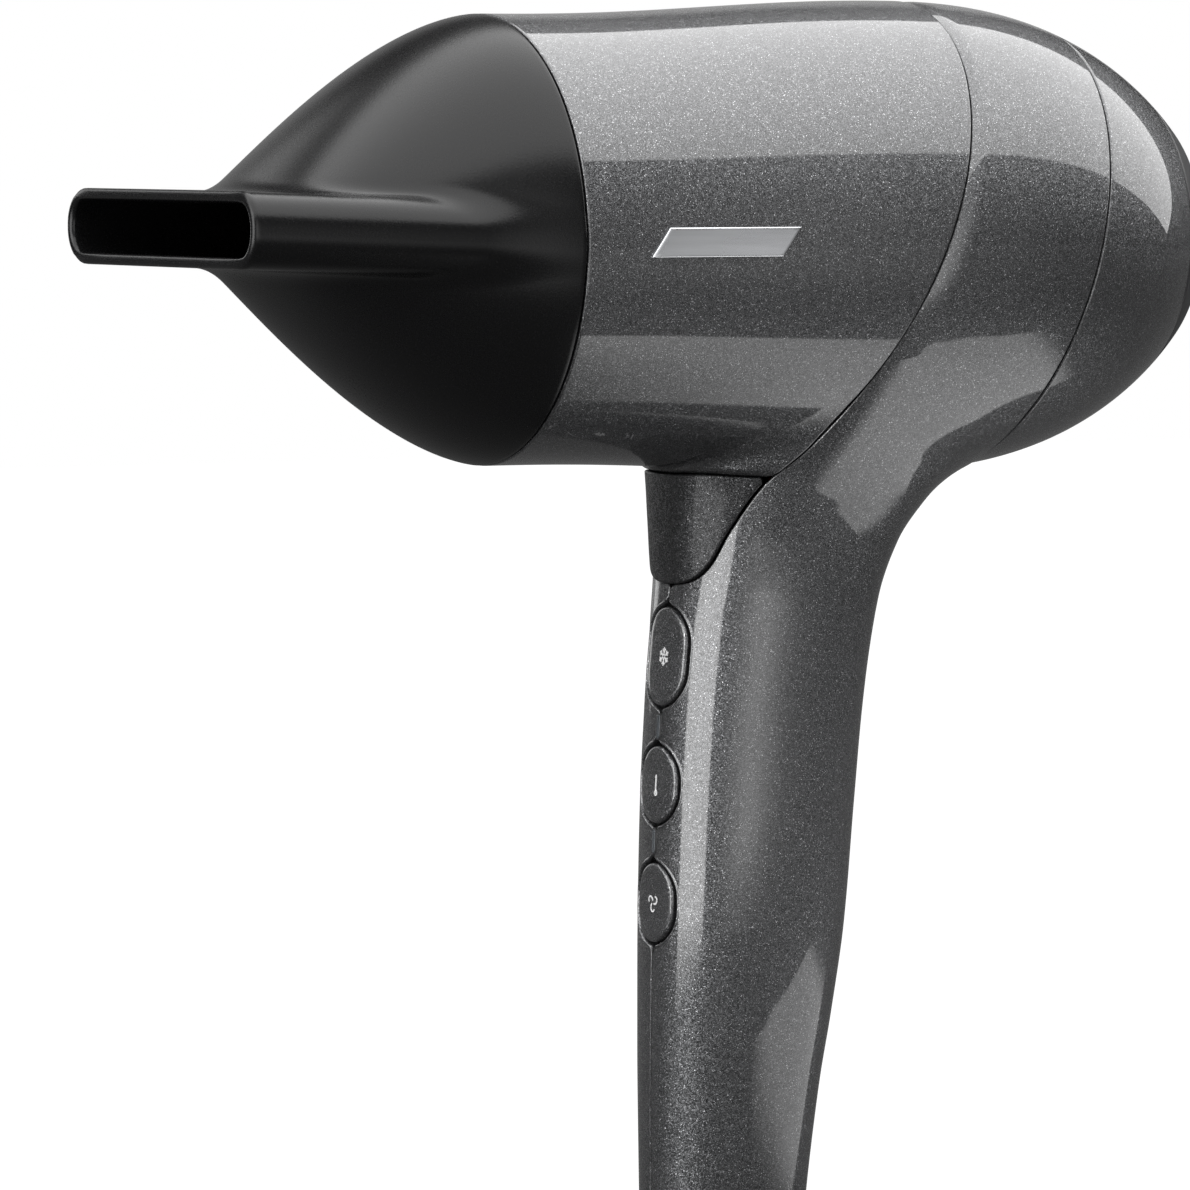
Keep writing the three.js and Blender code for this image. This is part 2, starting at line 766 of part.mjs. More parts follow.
// One of two crossed mica boards, halved into each other: turn 0 lies flat, 1 stands up.
function heaterBoard(turn) {
  const half = boardThickness / 2;
  const x0 = heaterFrontX + boardFrontInset;
  const x1 = heaterRearX - boardRearInset;
  const middle = (x0 + x1) / 2;
  const notch = half + gap;
  const plate = new THREE.BoxGeometry(x1 - x0, 2 * boardHalf, 2 * half);
  const slotLength = (x1 - x0) / 2 + gap + 1;
  const slot = new THREE.BoxGeometry(slotLength, 2 * notch, 4);
  const slotX = turn ? (x1 + 1) - slotLength / 2 : (x0 - 1) + slotLength / 2;
  const body = cut(
    solid(plate.translate(middle, 0, 0)),
    solid(slot.translate(slotX, 0, 0)),
  );
  return body.rotate([turn * 90, 0, 0]).translate([0, 0, axisZ]);
}

function heaterCoil(index) {
  const length = (heaterRearX - heaterFrontX - 2 * coilInset - coilSpacing) / 2;
  const x0 = heaterFrontX + coilInset + index * (length + coilSpacing);
  return wire(new Coil(x0, x0 + length, coilR, coilTurns, axisZ), coilWireR, coilTurns * 8, 4);
}

// Both safety devices lie on the flat board, midway between the upright board and the coils.
const deviceY = (coilR - coilWireR) / 2;
const deviceZ = axisZ + boardThickness / 2 + gap;
const deviceRearX = heaterRearX - boardRearInset - 3;

function thermostat() {
  const x = deviceRearX - thermostatR;
  return rod(thermostatR, [x, deviceY, deviceZ], [x, deviceY, deviceZ + thermostatHeight], 20);
}

function thermalFuse() {
  const z = deviceZ + fuseR;
  return rod(fuseR, [deviceRearX - fuseLength, -deviceY, z], [deviceRearX, -deviceY, z], 10);
}

// ---------------------------------------------------------------- duct, motor and fan

const motorRearX = motorFrontX + motorLength;
const ductR = innerR(ductRearX) - ductRoom;
const ductInnerR = ductR - ductWall;
const hubInnerR = motorR + gap;
const hubR = hubInnerR + hubWall;

function fanDuct() {
  const flange = ring(ductFrontX, ductFrontX + ductFlange, ductInnerR, innerR(ductFrontX) - gap);
  const tube = ring(ductFrontX, ductRearX, ductInnerR, ductR);
  const hub = ring(motorFrontX + 2, motorRearX - 1, hubInnerR, hubR, 32);
  const reach = (hubR + ductInnerR) / 2;
  const vanes = Array.from({ length: vaneCount }, (_, i) =>
    solid(
      new THREE.BoxGeometry(vaneLength, vaneThickness, ductInnerR - hubR + hubWall)
        .translate(0, 0, reach)
        .rotateX((2 * Math.PI * i) / vaneCount)
        .translate(motorRearX - 10, 0, axisZ),
    ),
  );
  return join(flange, tube, hub, ...vanes);
}

const sealX = ductRearX - sealInset;
const sealEnd = sealX + sealLength;
const ductSeal = () => ring(sealX, sealEnd, ductR + gap, innerR(sealEnd) - gap);

function motorCan() {
  return turned([
    [motorFrontX, motorR - motorWall],
    [motorFrontX, motorR],
    [motorRearX, motorR],
    [motorRearX, bushR + gap],
    [motorRearX - motorWall, bushR + gap],
    [motorRearX - motorWall, motorR - motorWall],
  ], 32);
}

function motorEndPlate() {
  const x0 = motorFrontX + gap;
  return ring(x0, x0 + endPlateThickness, bushR + gap, motorR - motorWall - gap, 32);
}

const motorBush = (middle) =>
  ring(middle - bushLength / 2, middle + bushLength / 2, shaftR + gap, bushR, 20);

const motorShaft = () =>
  disc(motorFrontX - shaftOverhang, fanFrontX + fanLength - hubFace, shaftR, 12);

// The armature, with its commutator in front.
function motorRotor() {
  const x0 = motorFrontX + rotorFrontInset;
  const stack = x0 + commutatorLength;
  const x1 = motorRearX - rotorRearInset;
  const bore = shaftR + gap;
  return turned([
    [x0, bore], [x0, commutatorR], [stack, commutatorR], [stack, rotorR], [x1, rotorR], [x1, bore],
  ], 24);
}

function rectifierBoard() {
  const x1 = motorFrontX - gap;
  const plate = ring(x1 - rectifierThickness, x1, bushR + 2 * gap, motorR - 2, 28);
  const [length, width, height] = diodeSize;
  const diodes = [0.25, 0.75, 1.25, 1.75].map((a) => {
    const y = diodeRing * Math.cos(a * Math.PI);
    const z = axisZ + diodeRing * Math.sin(a * Math.PI);
    return box([x1 - 1 - length, y - width / 2, z - height / 2], [x1 - 1, y + width / 2, z + height / 2]);
  });
  return join(plate, ...diodes);
}

function fanImpeller() {
  const x1 = fanFrontX + fanLength;
  const bore = shaftR + gap;
  const faceBack = x1 - hubFace;
  const hub = turned([
    [fanFrontX, fanHubR - hubWall], [fanFrontX, fanHubR], [x1 - hubRound, fanHubR],
    [x1, fanHubR - hubRound], [x1, bore], [x1 - hubBossLength, bore],
    [x1 - hubBossLength, hubBossR], [faceBack, hubBossR], [faceBack, fanHubR - hubRound - 1],
    [faceBack - hubWall, fanHubR - hubWall],
  ], 27);
  const tipR = ductInnerR - runningGap;
  const span = tipR - fanHubR + hubWall;
  const blades = Array.from({ length: bladeCount }, (_, i) =>
    solid(
      new THREE.BoxGeometry(fanLength + 1, bladeThickness, span)
        .rotateZ(THREE.MathUtils.degToRad(bladePitchDeg))
        .translate(0, 0, tipR + 1 - span / 2)
        .rotateX((2 * Math.PI * i) / bladeCount)
        .translate((fanFrontX + x1) / 2, 0, axisZ),
    ),
  );
  const envelope = ring(fanFrontX, x1, fanHubR - 1, tipR);
  return join(hub, join(...blades).intersect(envelope));
}

// ---------------------------------------------------------------- intake

function intakeGuard() {
  const x0 = seatX - gap - guardThickness;
  const r = seatInnerR + guardReach;
  const rings = [r, r * 0.5].map((outer) =>
    ring(x0, x0 + guardThickness, outer - guardBar, outer, 24),
  );
  const spokes = [0, 1].map((i) =>
    solid(
      new THREE.BoxGeometry(guardThickness - 0.4, 2 * r - 1, guardBar)
        .rotateX((i * Math.PI) / 2 + Math.PI / 4)
        .translate(x0 + guardThickness / 2, 0, axisZ),
    ),
  );
  return join(...rings, ...spokes);
}

const coverX = capEndX + gap;
const skirtR = innerR(capEndX) - 2 * gap;
const grilleR = bodyR(intakeX) - coverEdge;

// The filter cover: a dome end with rings of slots and a skirt that plugs into the rear cap.
function filterCover() {
  const rim = bodyR(coverX);
  const shoulderX = intakeX - coverEdge;
  const outline = [
    ...spread(coverX, shoulderX, 3).map((x) => [x, bodyR(x)]),
    [intakeX, grilleR],
    [intakeX, 0],
  ];
  const cover = turned([[coverX, 0], ...outline]);
  const hollow = turned([
    [coverX - 1, 0], [coverX - 1, skirtR - coverWall], [coverX + 1, skirtR - coverWall],
    [intakeX - coverFace, grilleR - coverWall], [intakeX - coverFace, 0],
  ]);
  const skirt = ring(coverX - skirtLength, coverX + coverWall / 2, skirtR - coverWall, skirtR);
  const shell = join(cut(cover, hollow), skirt).intersect(disc(coverX - 5, intakeX, rim));
  return cut(shell, ...intakeSlots());
}

// Curved slots in three rings.
function intakeSlots() {
  const slots = [];
  for (const [index, count] of [6, 10, 14].entries()) {
    const r = grilleR * (0.32 + 0.24 * index);
    for (let i = 0; i < count; i++) {
      const middle = (2 * Math.PI * (i + 0.5 * (index % 2))) / count;
      const reach = Math.PI / count - slotHalf / r;
      slots.push(arcSlot(r, slotHalf, middle, reach));
    }
  }
  return slots;
}

function arcSlot(r, half, middle, reach) {
  const arc = (radius, from, to) =>
    spread(from, to, 2).map((a) => [radius * Math.cos(a), axisZ + radius * Math.sin(a)]);
  const outline = [
    ...arc(r + half, middle - reach, middle + reach),
    ...arc(r - half, middle + reach, middle - reach),
  ];
  return bar(outline, intakeX - 4, intakeX + 1);
}

// The filter: a thin disc with a square grid of holes.
function filterMesh() {
  const x0 = coverX + coverWall;
  const r = grilleR - coverWall - gap;
  const half = meshHole / 2;
  const count = Math.ceil(r / meshPitch);
  const holes = [];
  for (let i = -count; i <= count; i++) {
    for (let j = -count; j <= count; j++) {
      if (Math.hypot(i, j) * meshPitch + 1.5 * half > r) continue;
      const [y, z] = [i * meshPitch, axisZ + j * meshPitch];
      holes.push(box([x0 - 1, y - half, z - half], [x0 + 2, y + half, z + half]));
    }
  }
  return cut(disc(x0, x0 + meshThickness, r, 24), ...holes);
}

// ---------------------------------------------------------------- leads

// Two leads climb the handle behind the board and turn up between heater and duct.
function lead(side) {
  const top = axisZ - boardTopDepth;
  const y = leadSpread * side;
  const rise = (heaterRearX + ductFrontX) / 2;
  const points = [
    [boardX + 4, y, top - 14],
    [boardX + 4.2, y, top + 4],
    [boardX + 6.5, y, axisZ - 52],
    [rise - 0.6, y, axisZ - 42],
    [rise, y, axisZ - 34],
    [rise, y, axisZ - 26 - 3 * side],
  ];
  const route = new THREE.CatmullRomCurve3(points.map((p) => new THREE.Vector3(...p)));
  return wire(route, leadR, 18, 8);
}

// ---------------------------------------------------------------- the assembly

const finish = (color, roughness, metalness) =>
  new THREE.MeshStandardMaterial({ color, roughness, metalness });
const paint = finish(0x4a4b4e, 0.3, 0.6);
const blackPlastic = finish(0x161617, 0.42, 0);
const darkPlastic = finish(0x26262a, 0.55, 0);
const rubber = finish(0x1b1b1b, 0.85, 0);
const steel = finish(0xb9bcc0, 0.3, 1);
const copper = finish(0xa8683c, 0.35, 1);
const mica = finish(0xb9ab8c, 0.6, 0);
const green = finish(0x1f5a3c, 0.5, 0);
const mesh = finish(0x8c8f93, 0.4, 1);
const foam = finish(0x3a3a3c, 0.95, 0);
const clear = finish(0xc9d4da, 0.1, 0);
const leadRed = finish(0x8c2420, 0.5, 0);
const leadBlue = finish(0x2a3f78, 0.5, 0);

const dryer = new THREE.Group();

function piece(name, body, material) {
  const made = new THREE.Mesh(geometryOf(body), material);
  made.name = name;
  dryer.add(made);
}

piece("barrel_shell", barrelShell(), paint);
piece("housing_left", housing(-1), paint);
piece("housing_right", housing(1), paint);
piece("neck_insert", neckInsert(), paint);
piece("rear_cap", rearCap(), paint);
piece("badge_plate", plateBody(0), steel);
piece("handle_end_cap", handleEndCap(), blackPlastic);
piece("cord_bush", cordBush(), rubber);
piece("cord_clamp", cordClamp(), darkPlastic);
clampScrewXs.forEach((x, i) =>
  piece("cord_clamp_screw_" + (i + 1), screw(x, clampFaceY + gap, clampMiddleZ, clampScrewLength), steel),
);
housingScrews.forEach(([x, z], i) =>
  piece("housing_screw_" + (i + 1), screw(x, headSeatY + gap, z, housingScrewLength), steel),
);
piece("concentrator_nozzle", nozzle(), blackPlastic);
piece("nozzle_collar", nozzleCollar(), blackPlastic);
piece("outlet_spigot", outletSpigot(), blackPlastic);
piece("outlet_grille", outletGrille(), blackPlastic);
piece("heater_tube", heaterTube(), mica);
piece("heater_board_flat", heaterBoard(0), mica);
piece("heater_board_upright", heaterBoard(1), mica);
piece("heater_coil_front", heaterCoil(0), steel);
piece("heater_coil_rear", heaterCoil(1), steel);
piece("thermostat", thermostat(), steel);
piece("thermal_fuse", thermalFuse(), steel);
piece("fan_duct", fanDuct(), darkPlastic);
piece("duct_seal", ductSeal(), foam);
piece("motor_can", motorCan(), steel);
piece("motor_end_plate", motorEndPlate(), darkPlastic);
piece("motor_bush_front", motorBush(motorFrontX + bushLength / 2 - gap), copper);
piece("motor_bush_rear", motorBush(motorRearX - bushLength / 2 + gap), copper);
piece("motor_rotor", motorRotor(), copper);
piece("motor_shaft", motorShaft(), steel);
piece("rectifier_board", rectifierBoard(), green);
piece("fan_impeller", fanImpeller(), blackPlastic);
piece("intake_guard", intakeGuard(), blackPlastic);
piece("filter_cover", filterCover(), blackPlastic);
piece("filter_mesh", filterMesh(), mesh);
piece("button_carrier", buttonCarrier(), darkPlastic);
piece("control_board", controlBoard(), green);
for (const button of buttons) {
  piece(button[0] + "_button", buttonCap(button), blackPlastic);
  piece(button[0] + "_spring", buttonSpring(button), steel);
  piece(button[0] + "_switch", tactSwitch(button), darkPlastic);
}
indicatorDepths.forEach((depth, i) => piece("indicator_lens_" + (i + 1), indicatorLens(depth), clear));
piece("lead_live", lead(1), leadRed);
piece("lead_neutral", lead(-1), leadBlue);

export default dryer;
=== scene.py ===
import json
import math
from itertools import product

import bpy
import numpy as np
from mathutils import Matrix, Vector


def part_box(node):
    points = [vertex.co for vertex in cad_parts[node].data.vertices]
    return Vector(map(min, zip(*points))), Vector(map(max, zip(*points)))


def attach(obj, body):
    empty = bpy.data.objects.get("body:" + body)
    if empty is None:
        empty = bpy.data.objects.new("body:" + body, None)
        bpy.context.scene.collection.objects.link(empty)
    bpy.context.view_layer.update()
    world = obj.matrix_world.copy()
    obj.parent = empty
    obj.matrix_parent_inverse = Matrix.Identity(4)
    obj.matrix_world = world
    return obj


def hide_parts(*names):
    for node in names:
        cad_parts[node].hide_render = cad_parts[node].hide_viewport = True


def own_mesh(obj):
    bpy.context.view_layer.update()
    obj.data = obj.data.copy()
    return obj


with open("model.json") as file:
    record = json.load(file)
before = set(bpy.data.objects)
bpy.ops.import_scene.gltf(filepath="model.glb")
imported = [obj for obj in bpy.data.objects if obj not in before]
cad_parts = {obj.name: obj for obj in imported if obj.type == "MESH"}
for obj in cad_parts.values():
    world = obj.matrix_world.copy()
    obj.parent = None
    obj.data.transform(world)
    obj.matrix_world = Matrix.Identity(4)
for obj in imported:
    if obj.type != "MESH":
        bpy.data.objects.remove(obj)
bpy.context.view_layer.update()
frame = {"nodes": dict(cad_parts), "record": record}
mm = 0.001  # shapes are worked out in millimetres and stored in metres
farAway = 99.0  # a distance beyond the reach of any cut or blend


def nodeBox(name):
    low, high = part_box(name)
    return np.array(low) / mm, np.array(high) / mm


barrelLow, barrelHigh = nodeBox("barrel_shell")
capLow, capHigh = nodeBox("rear_cap")
nozzleLow = nodeBox("concentrator_nozzle")[0]
collarLow, collarHigh = nodeBox("nozzle_collar")
bushLow, bushHigh = nodeBox("cord_bush")
endCapHigh = nodeBox("handle_end_cap")[1]
coverLow, coverHigh = nodeBox("filter_cover")
screws = [nodeBox("housing_screw_1"), nodeBox("housing_screw_2")]
axisZ = float(collarLow[2] + collarHigh[2]) / 2
handleX = float(bushLow[0] + bushHigh[0]) / 2
frontX = float(barrelLow[0])

# The painted shell. Radii follow the barrel from its front edge to the pole of the rear dome.
shell = {
    "frontRadius": 41.7,
    "wideRadius": 44.7,
    "wideAt": 44.1,
    "domeLength": 76.0,
    "wall": 2.0,
    "seamGap": 0.34,
    "edgeRoll": 0.42,
    "cell": 1.3,
    "screwHole": 3.3,
}

# The handle as [height, front, rear, half width], front and rear measured from its axis
handle = {
    "squareness": 2.35,
    "stations": [
        [0, -14.9, 14.9, 13.4],
        [13.6, -15.3, 16.2, 14],
        [33.5, -15.4, 18.8, 15.2],
        [44.6, -15.3, 20.8, 16],
        [63.2, -15, 23.6, 17.2],
        [85.6, -14.4, 25.6, 17.8],
        [105.4, -13.3, 27.6, 18.1],
        [124, -11.9, 30.7, 18.8],
        [135, -12.4, 35, 20.1],
        [143, -12.6, 41, 22.4],
        [150, -12.6, 47.5, 25.5],
        [158, -12.6, 56, 29.5],
        [170, -12.6, 60, 34],
    ],
    "blend": 7.0,
    "topDepth": 20.0,
}
handleEnd = {"plate": 2.6, "edge": 0.9, "bore": 3.3}

# Side-view run of the front seam as [height from the barrel axis, x]
frontSeam = [
    [-67, -8], [-66, -1.5], [-62.4, 2.1], [-54.6, 5.1], [-46, 9.4], [-38, 16.5],
    [-22, 25.1], [0, 34.9], [22, 42.9], [44, 49.4], [60, 53],
]
rearSeam = {"x": 69.9, "slope": 0.25}
seamEase = {"drop": 0.9, "narrow": 3.2, "wide": 7.0}  # the band's soft shoulder along the front seam
# The swell under the barrel where the neck meets it
neckPad = {"reach": 0.4, "drop": 0.7, "cut": 1.6, "blend": 2.6}
neckInset = {
    "side": 0.6, "ahead": 12.0, "over": 9.0, "hollow": 1.6, "middle": 51.0, "reach": 13.0, "rim": 8.0,
}

buttons = {  # depth below the barrel axis, height, width
    "cool_shot": {"depth": 78.4, "height": 18.6, "width": 13.7},
    "temperature": {"depth": 102.5, "height": 14.6, "width": 13.0},
    "speed": {"depth": 124.7, "height": 15.0, "width": 12.6},
}
buttonForm = {
    "gap": 0.4, "proud": 0.2, "edge": 0.7, "dish": 0.25, "capDepth": 3.2, "holeRoll": 0.8, "bead": 0.35,
    "stemRadius": 2.2, "stemFrom": 2.5, "flangeReach": 1.0, "flangeDrop": 2.6, "flangeDepth": 4.4,
}


def smoothCurve(points, at):
    # Monotone cubic through [at, value] points
    xs, ys = np.array(points, float).T
    steps = np.diff(xs)
    slopes = np.diff(ys) / steps
    tangents = np.empty_like(ys)
    tangents[0], tangents[-1] = slopes[0], slopes[-1]
    before, after = slopes[:-1], slopes[1:]
    total = before + after
    same = before * after > 0
    tangents[1:-1] = np.where(same, 2 * before * after / np.where(same, total, 1), 0)
    at = np.clip(at, xs[0], xs[-1])
    i = np.clip(np.searchsorted(xs, at) - 1, 0, len(steps) - 1)
    t = (at - xs[i]) / steps[i]
    rise = ys[i] * (2 * t**3 - 3 * t**2 + 1) + ys[i + 1] * (3 * t**2 - 2 * t**3)
    return rise + steps[i] * (tangents[i] * (t**3 - 2 * t**2 + t) + tangents[i + 1] * (t**3 - t**2))


def smoothStep(low, high, v):
    t = np.clip((v - low) / (high - low), 0, 1)
    return t * t * (3 - 2 * t)


def softJoin(a, b, reach):
    h = np.clip(0.5 + 0.5 * (b - a) / reach, 0, 1)
    return b * (1 - h) + a * h - reach * h * (1 - h)


def softCut(a, b, reach):
    return -softJoin(-a, -b, reach)


def shellRadius(x):
    u = np.clip((x - frontX) / (shell["wideAt"] - frontX), 0, 1)
    w = np.clip((x - shell["wideAt"]) / shell["domeLength"], 0, 0.999)
    front = shell["frontRadius"]
    wide = shell["wideRadius"]
    rise = front + (wide - front) * np.sin(math.pi / 2 * u) ** 2.6
    return np.where(x < shell["wideAt"], rise, wide * (1 - w**2.56) ** (1 / 1.28))


def barrelField(p):
    return np.hypot(p[..., 1], p[..., 2] - axisZ) - shellRadius(p[..., 0])


def handleSection(z):
    # Middle, half depth and half width of the handle at height z
    front, rear, half = (
        smoothCurve([[row[0], row[k]] for row in handle["stations"]], z) for k in (1, 2, 3)
    )
    return handleX + (front + rear) / 2, (rear - front) / 2, half


def handleField(p):
    # Distance outside the handle, which ends inside the barrel
    middle, depth, half = handleSection(p[..., 2])
    n = handle["squareness"]
    a = np.abs(p[..., 0] - middle) / depth
    b = np.abs(p[..., 1]) / half
    rho = np.maximum((a**n + b**n) ** (1 / n), 0.05)
    slope = np.hypot(a ** (n - 1) / depth, b ** (n - 1) / half) * rho ** (1 - n)
    side = (rho - 1) / np.maximum(slope, 0.02)
    return np.maximum(side, p[..., 2] - (axisZ - handle["topDepth"]))


seamHeights = np.linspace(-66.999, 60, 500)
seamPath = np.stack([smoothCurve(frontSeam, seamHeights), seamHeights], -1)
seamPath = np.concatenate([[[-40.0, -67.2], [-24.0, -67.1], [-9.0, -67.0]], seamPath, [[56.0, 75.0]]])
stretches = np.concatenate([[0], np.cumsum(np.hypot(*np.diff(seamPath, axis=0).T))])
even = np.linspace(0, stretches[-1], 700)
seamPath = np.stack([np.interp(even, stretches, seamPath[:, k]) for k in (0, 1)], -1)
before, after = seamPath[:1] * 2 - seamPath[1:2], seamPath[-1:] * 2 - seamPath[-2:-1]
seamPath = np.concatenate([before, seamPath, after])


def frontSeamDistance(p):
    # Distance to the seam in side view, positive behind it
    shape = p.shape[:-1]
    flat = p.reshape(-1, 3)
    x, h = flat[:, 0], flat[:, 2] - axisZ
    rough = x - smoothCurve(frontSeam, h)
    slope = smoothCurve(frontSeam, h + 0.5) - smoothCurve(frontSeam, h - 0.5)
    distance = rough / np.hypot(1, slope)
    close = np.flatnonzero((np.abs(distance) < 14) | (np.abs(h + 66) < 12))
    for part in np.array_split(close, len(close) // 8000 + 1):
        away = np.hypot(x[part, None] - seamPath[:, 0], h[part, None] - seamPath[:, 1])
        nearest = np.clip(np.argmin(away, 1), 1, len(seamPath) - 2)
        chord = seamPath[nearest + 1] - seamPath[nearest - 1]
        across = chord / np.linalg.norm(chord, axis=1, keepdims=True)
        offX, offH = x[part] - seamPath[nearest, 0], h[part] - seamPath[nearest, 1]
        distance[part] = offX * across[:, 1] - offH * across[:, 0]
    return distance.reshape(shape)


def rearSeamDistance(p):
    # Positive in front of the seam; everything below the barrel counts as in front
    x = rearSeam["x"] + rearSeam["slope"] * (p[..., 2] - axisZ)
    ahead = (x - p[..., 0]) / math.hypot(1, rearSeam["slope"])
    return np.where(p[..., 2] < axisZ - shell["wideRadius"], farAway, ahead)


def housingForm(p):
    return softJoin(barrelField(p), handleField(p), handle["blend"])


def housingField(p):
    joined = housingForm(p)
    width = seamEase["narrow"] + (seamEase["wide"] - seamEase["narrow"]) * smoothStep(
        axisZ + 25, axisZ - 50, p[..., 2])
    close = np.clip(1 - frontSeamDistance(p) / width, 0, 1)
    return joined + seamEase["drop"] * close**2


def barrelSwellField(p):
    pad = handleField(p) - neckPad["reach"]
    floor = (axisZ - shellRadius(p[..., 0]) - neckPad["drop"]) - p[..., 2]
    return softJoin(barrelField(p), softCut(pad, floor, neckPad["cut"]), neckPad["blend"])


def neckField(p):
    start = handleX - neckInset["ahead"]
    side = smoothStep(start, start + neckInset["over"], p[..., 0])
    height = (p[..., 2] - axisZ + neckInset["middle"]) / neckInset["reach"]
    hollow = neckInset["hollow"] * np.maximum(1 - height**2, 0)
    hollow = hollow * smoothStep(0, neckInset["rim"], -frontSeamDistance(p))
    return handleField(p) + (neckInset["side"] + hollow) * side


def gradient(field, p, step=0.03):
    out = np.empty_like(p)
    for k in range(3):
        ahead, behind = p.copy(), p.copy()
        ahead[..., k] += step
        behind[..., k] -= step
        out[..., k] = (field(ahead) - field(behind)) / (2 * step)
    return out


def unit(v):
    return v / np.maximum(np.linalg.norm(v, axis=-1, keepdims=True), 1e-9)


def settle(field, p, rounds=3, limit=1.0):
    # Moves points onto the field's zero surface
    for _ in range(rounds):
        g = gradient(field, p)
        move = field(p)[..., None] * g / np.maximum((g * g).sum(-1, keepdims=True), 1e-6)
        far = np.linalg.norm(move, axis=-1, keepdims=True)
        p = p - move * np.minimum(1, limit / np.maximum(far, 1e-9))
    return p


def skinOf(field, low, high, cell, rough):
    # A net of four-sided faces over the field's zero surface inside a box; rough finds it quicker
    axes = [np.arange(a, b + cell, cell) for a, b in zip(low, high)]
    inside = rough(np.stack(np.meshgrid(*axes, indexing="ij"), -1)) < 0
    n = [len(a) - 1 for a in axes]
    count = sum(
        inside[i:i + n[0], j:j + n[1], k:k + n[2]].astype(int)
        for i, j, k in product((0, 1), repeat=3)
    )
    active = (count > 0) & (count < 8)
    index = np.full(active.shape, -1)
    index[active] = np.arange(active.sum())
    where = np.argwhere(active)
    points = np.stack([axes[k][where[:, k]] + cell / 2 for k in range(3)], -1)
    quads = []
    for k in range(3):
        order = (k, (k + 1) % 3, (k + 2) % 3)
        full, cells = inside.transpose(order), index.transpose(order)
        lower = full[:-1, 1:-1, 1:-1]
        crossing = lower != full[1:, 1:-1, 1:-1]
        a, b = cells[:, :-1, :-1][crossing], cells[:, 1:, :-1][crossing]
        c, d = cells[:, 1:, 1:][crossing], cells[:, :-1, 1:][crossing]
        ahead = lower[crossing][:, None]
        quads.append(np.where(ahead, np.stack([a, b, c, d], -1), np.stack([d, c, b, a], -1)))
    quads = np.concatenate(quads)
    points = settle(field, points, 3, cell)
    for _ in range(3):  # even out the net, staying on the surface
        total = np.zeros_like(points)
        near = np.zeros(len(points))
        for i in range(4):
            a, b = quads[:, i], quads[:, (i + 1) % 4]
            np.add.at(total, a, points[b])
            np.add.at(total, b, points[a])
            np.add.at(near, a, 1)
            np.add.at(near, b, 1)
        points = settle(field, 0.4 * points + 0.6 * total / near[:, None], 1, cell)
    return settle(field, points, 2), quads


def trimmed(field, keep, points, quads, cell):
    # The part of a skin where keep is positive, cut cleanly along keep's zero line
    triangles = np.concatenate([quads[:, [0, 1, 2]], quads[:, [0, 2, 3]]])
    points = points.copy()
    s = keep(points)
    near = np.abs(s) < 0.3 * cell
    moved = points[near]
    for _ in range(4):
        normal = unit(gradient(field, moved))
        g = gradient(keep, moved)
        g -= (g * normal).sum(-1, keepdims=True) * normal
        size = (g * g).sum(-1, keepdims=True)
        step = keep(moved)[:, None] * g / np.maximum(size, 0.05)
        moved = settle(field, moved - np.clip(step, -0.5 * cell, 0.5 * cell), 1)
    good = np.abs(keep(moved)) < 1e-3
    chosen = np.flatnonzero(near)[good]
    points[chosen] = moved[good]
    s = keep(points)
    s[chosen] = 0
    used = s[triangles]
    whole = triangles[(used >= 0).all(1) & (used > 0).any(1)]
    mixed = triangles[(used > 0).any(1) & (used < 0).any(1)]
    ends = {}
    pairs = []
    for tri in mixed:
        for i in range(3):
            a, b = int(tri[i]), int(tri[(i + 1) % 3])
            if s[a] * s[b] < 0 and (min(a, b), max(a, b)) not in ends:
                ends[(min(a, b), max(a, b))] = len(points) + len(pairs)
                pairs.append((min(a, b), max(a, b)))
    a, b = np.array(pairs).T
    t = s[a] / (s[a] - s[b])
    low, high = np.zeros_like(t), np.ones_like(t)
    for _ in range(12):
        made = settle(field, points[a] + (points[b] - points[a]) * t[:, None], 2)
        at = keep(made)
        first = np.sign(at) == np.sign(s[a])
        low, high = np.where(first, t, low), np.where(first, high, t)
        t = (low + high) / 2
    faces = whole.tolist()
    for tri in mixed:
        ringOf = []
        for i in range(3):
            v, w = int(tri[i]), int(tri[(i + 1) % 3])
            if s[v] >= 0:
                ringOf.append(v)
            if s[v] * s[w] < 0:
                ringOf.append(ends[(min(v, w), max(v, w))])
        for i in range(1, len(ringOf) - 1):
            faces.append([ringOf[0], ringOf[i], ringOf[i + 1]])
    points = np.concatenate([points, made])
    faces = np.array(faces)
    used, faces = np.unique(faces, return_inverse=True)
    return points[used], faces.reshape(-1, 3)


def openEdges(faces):
    edges = np.concatenate([faces[:, [0, 1]], faces[:, [1, 2]], faces[:, [2, 0]]])
    found = {(int(a), int(b)) for a, b in edges}
    return np.array([(a, b) for a, b in found if (b, a) not in found])


def evenRoll(p):
    return np.full(p.shape[:-1], shell["edgeRoll"])


def nothing(p):
    return np.zeros(p.shape[:-1])


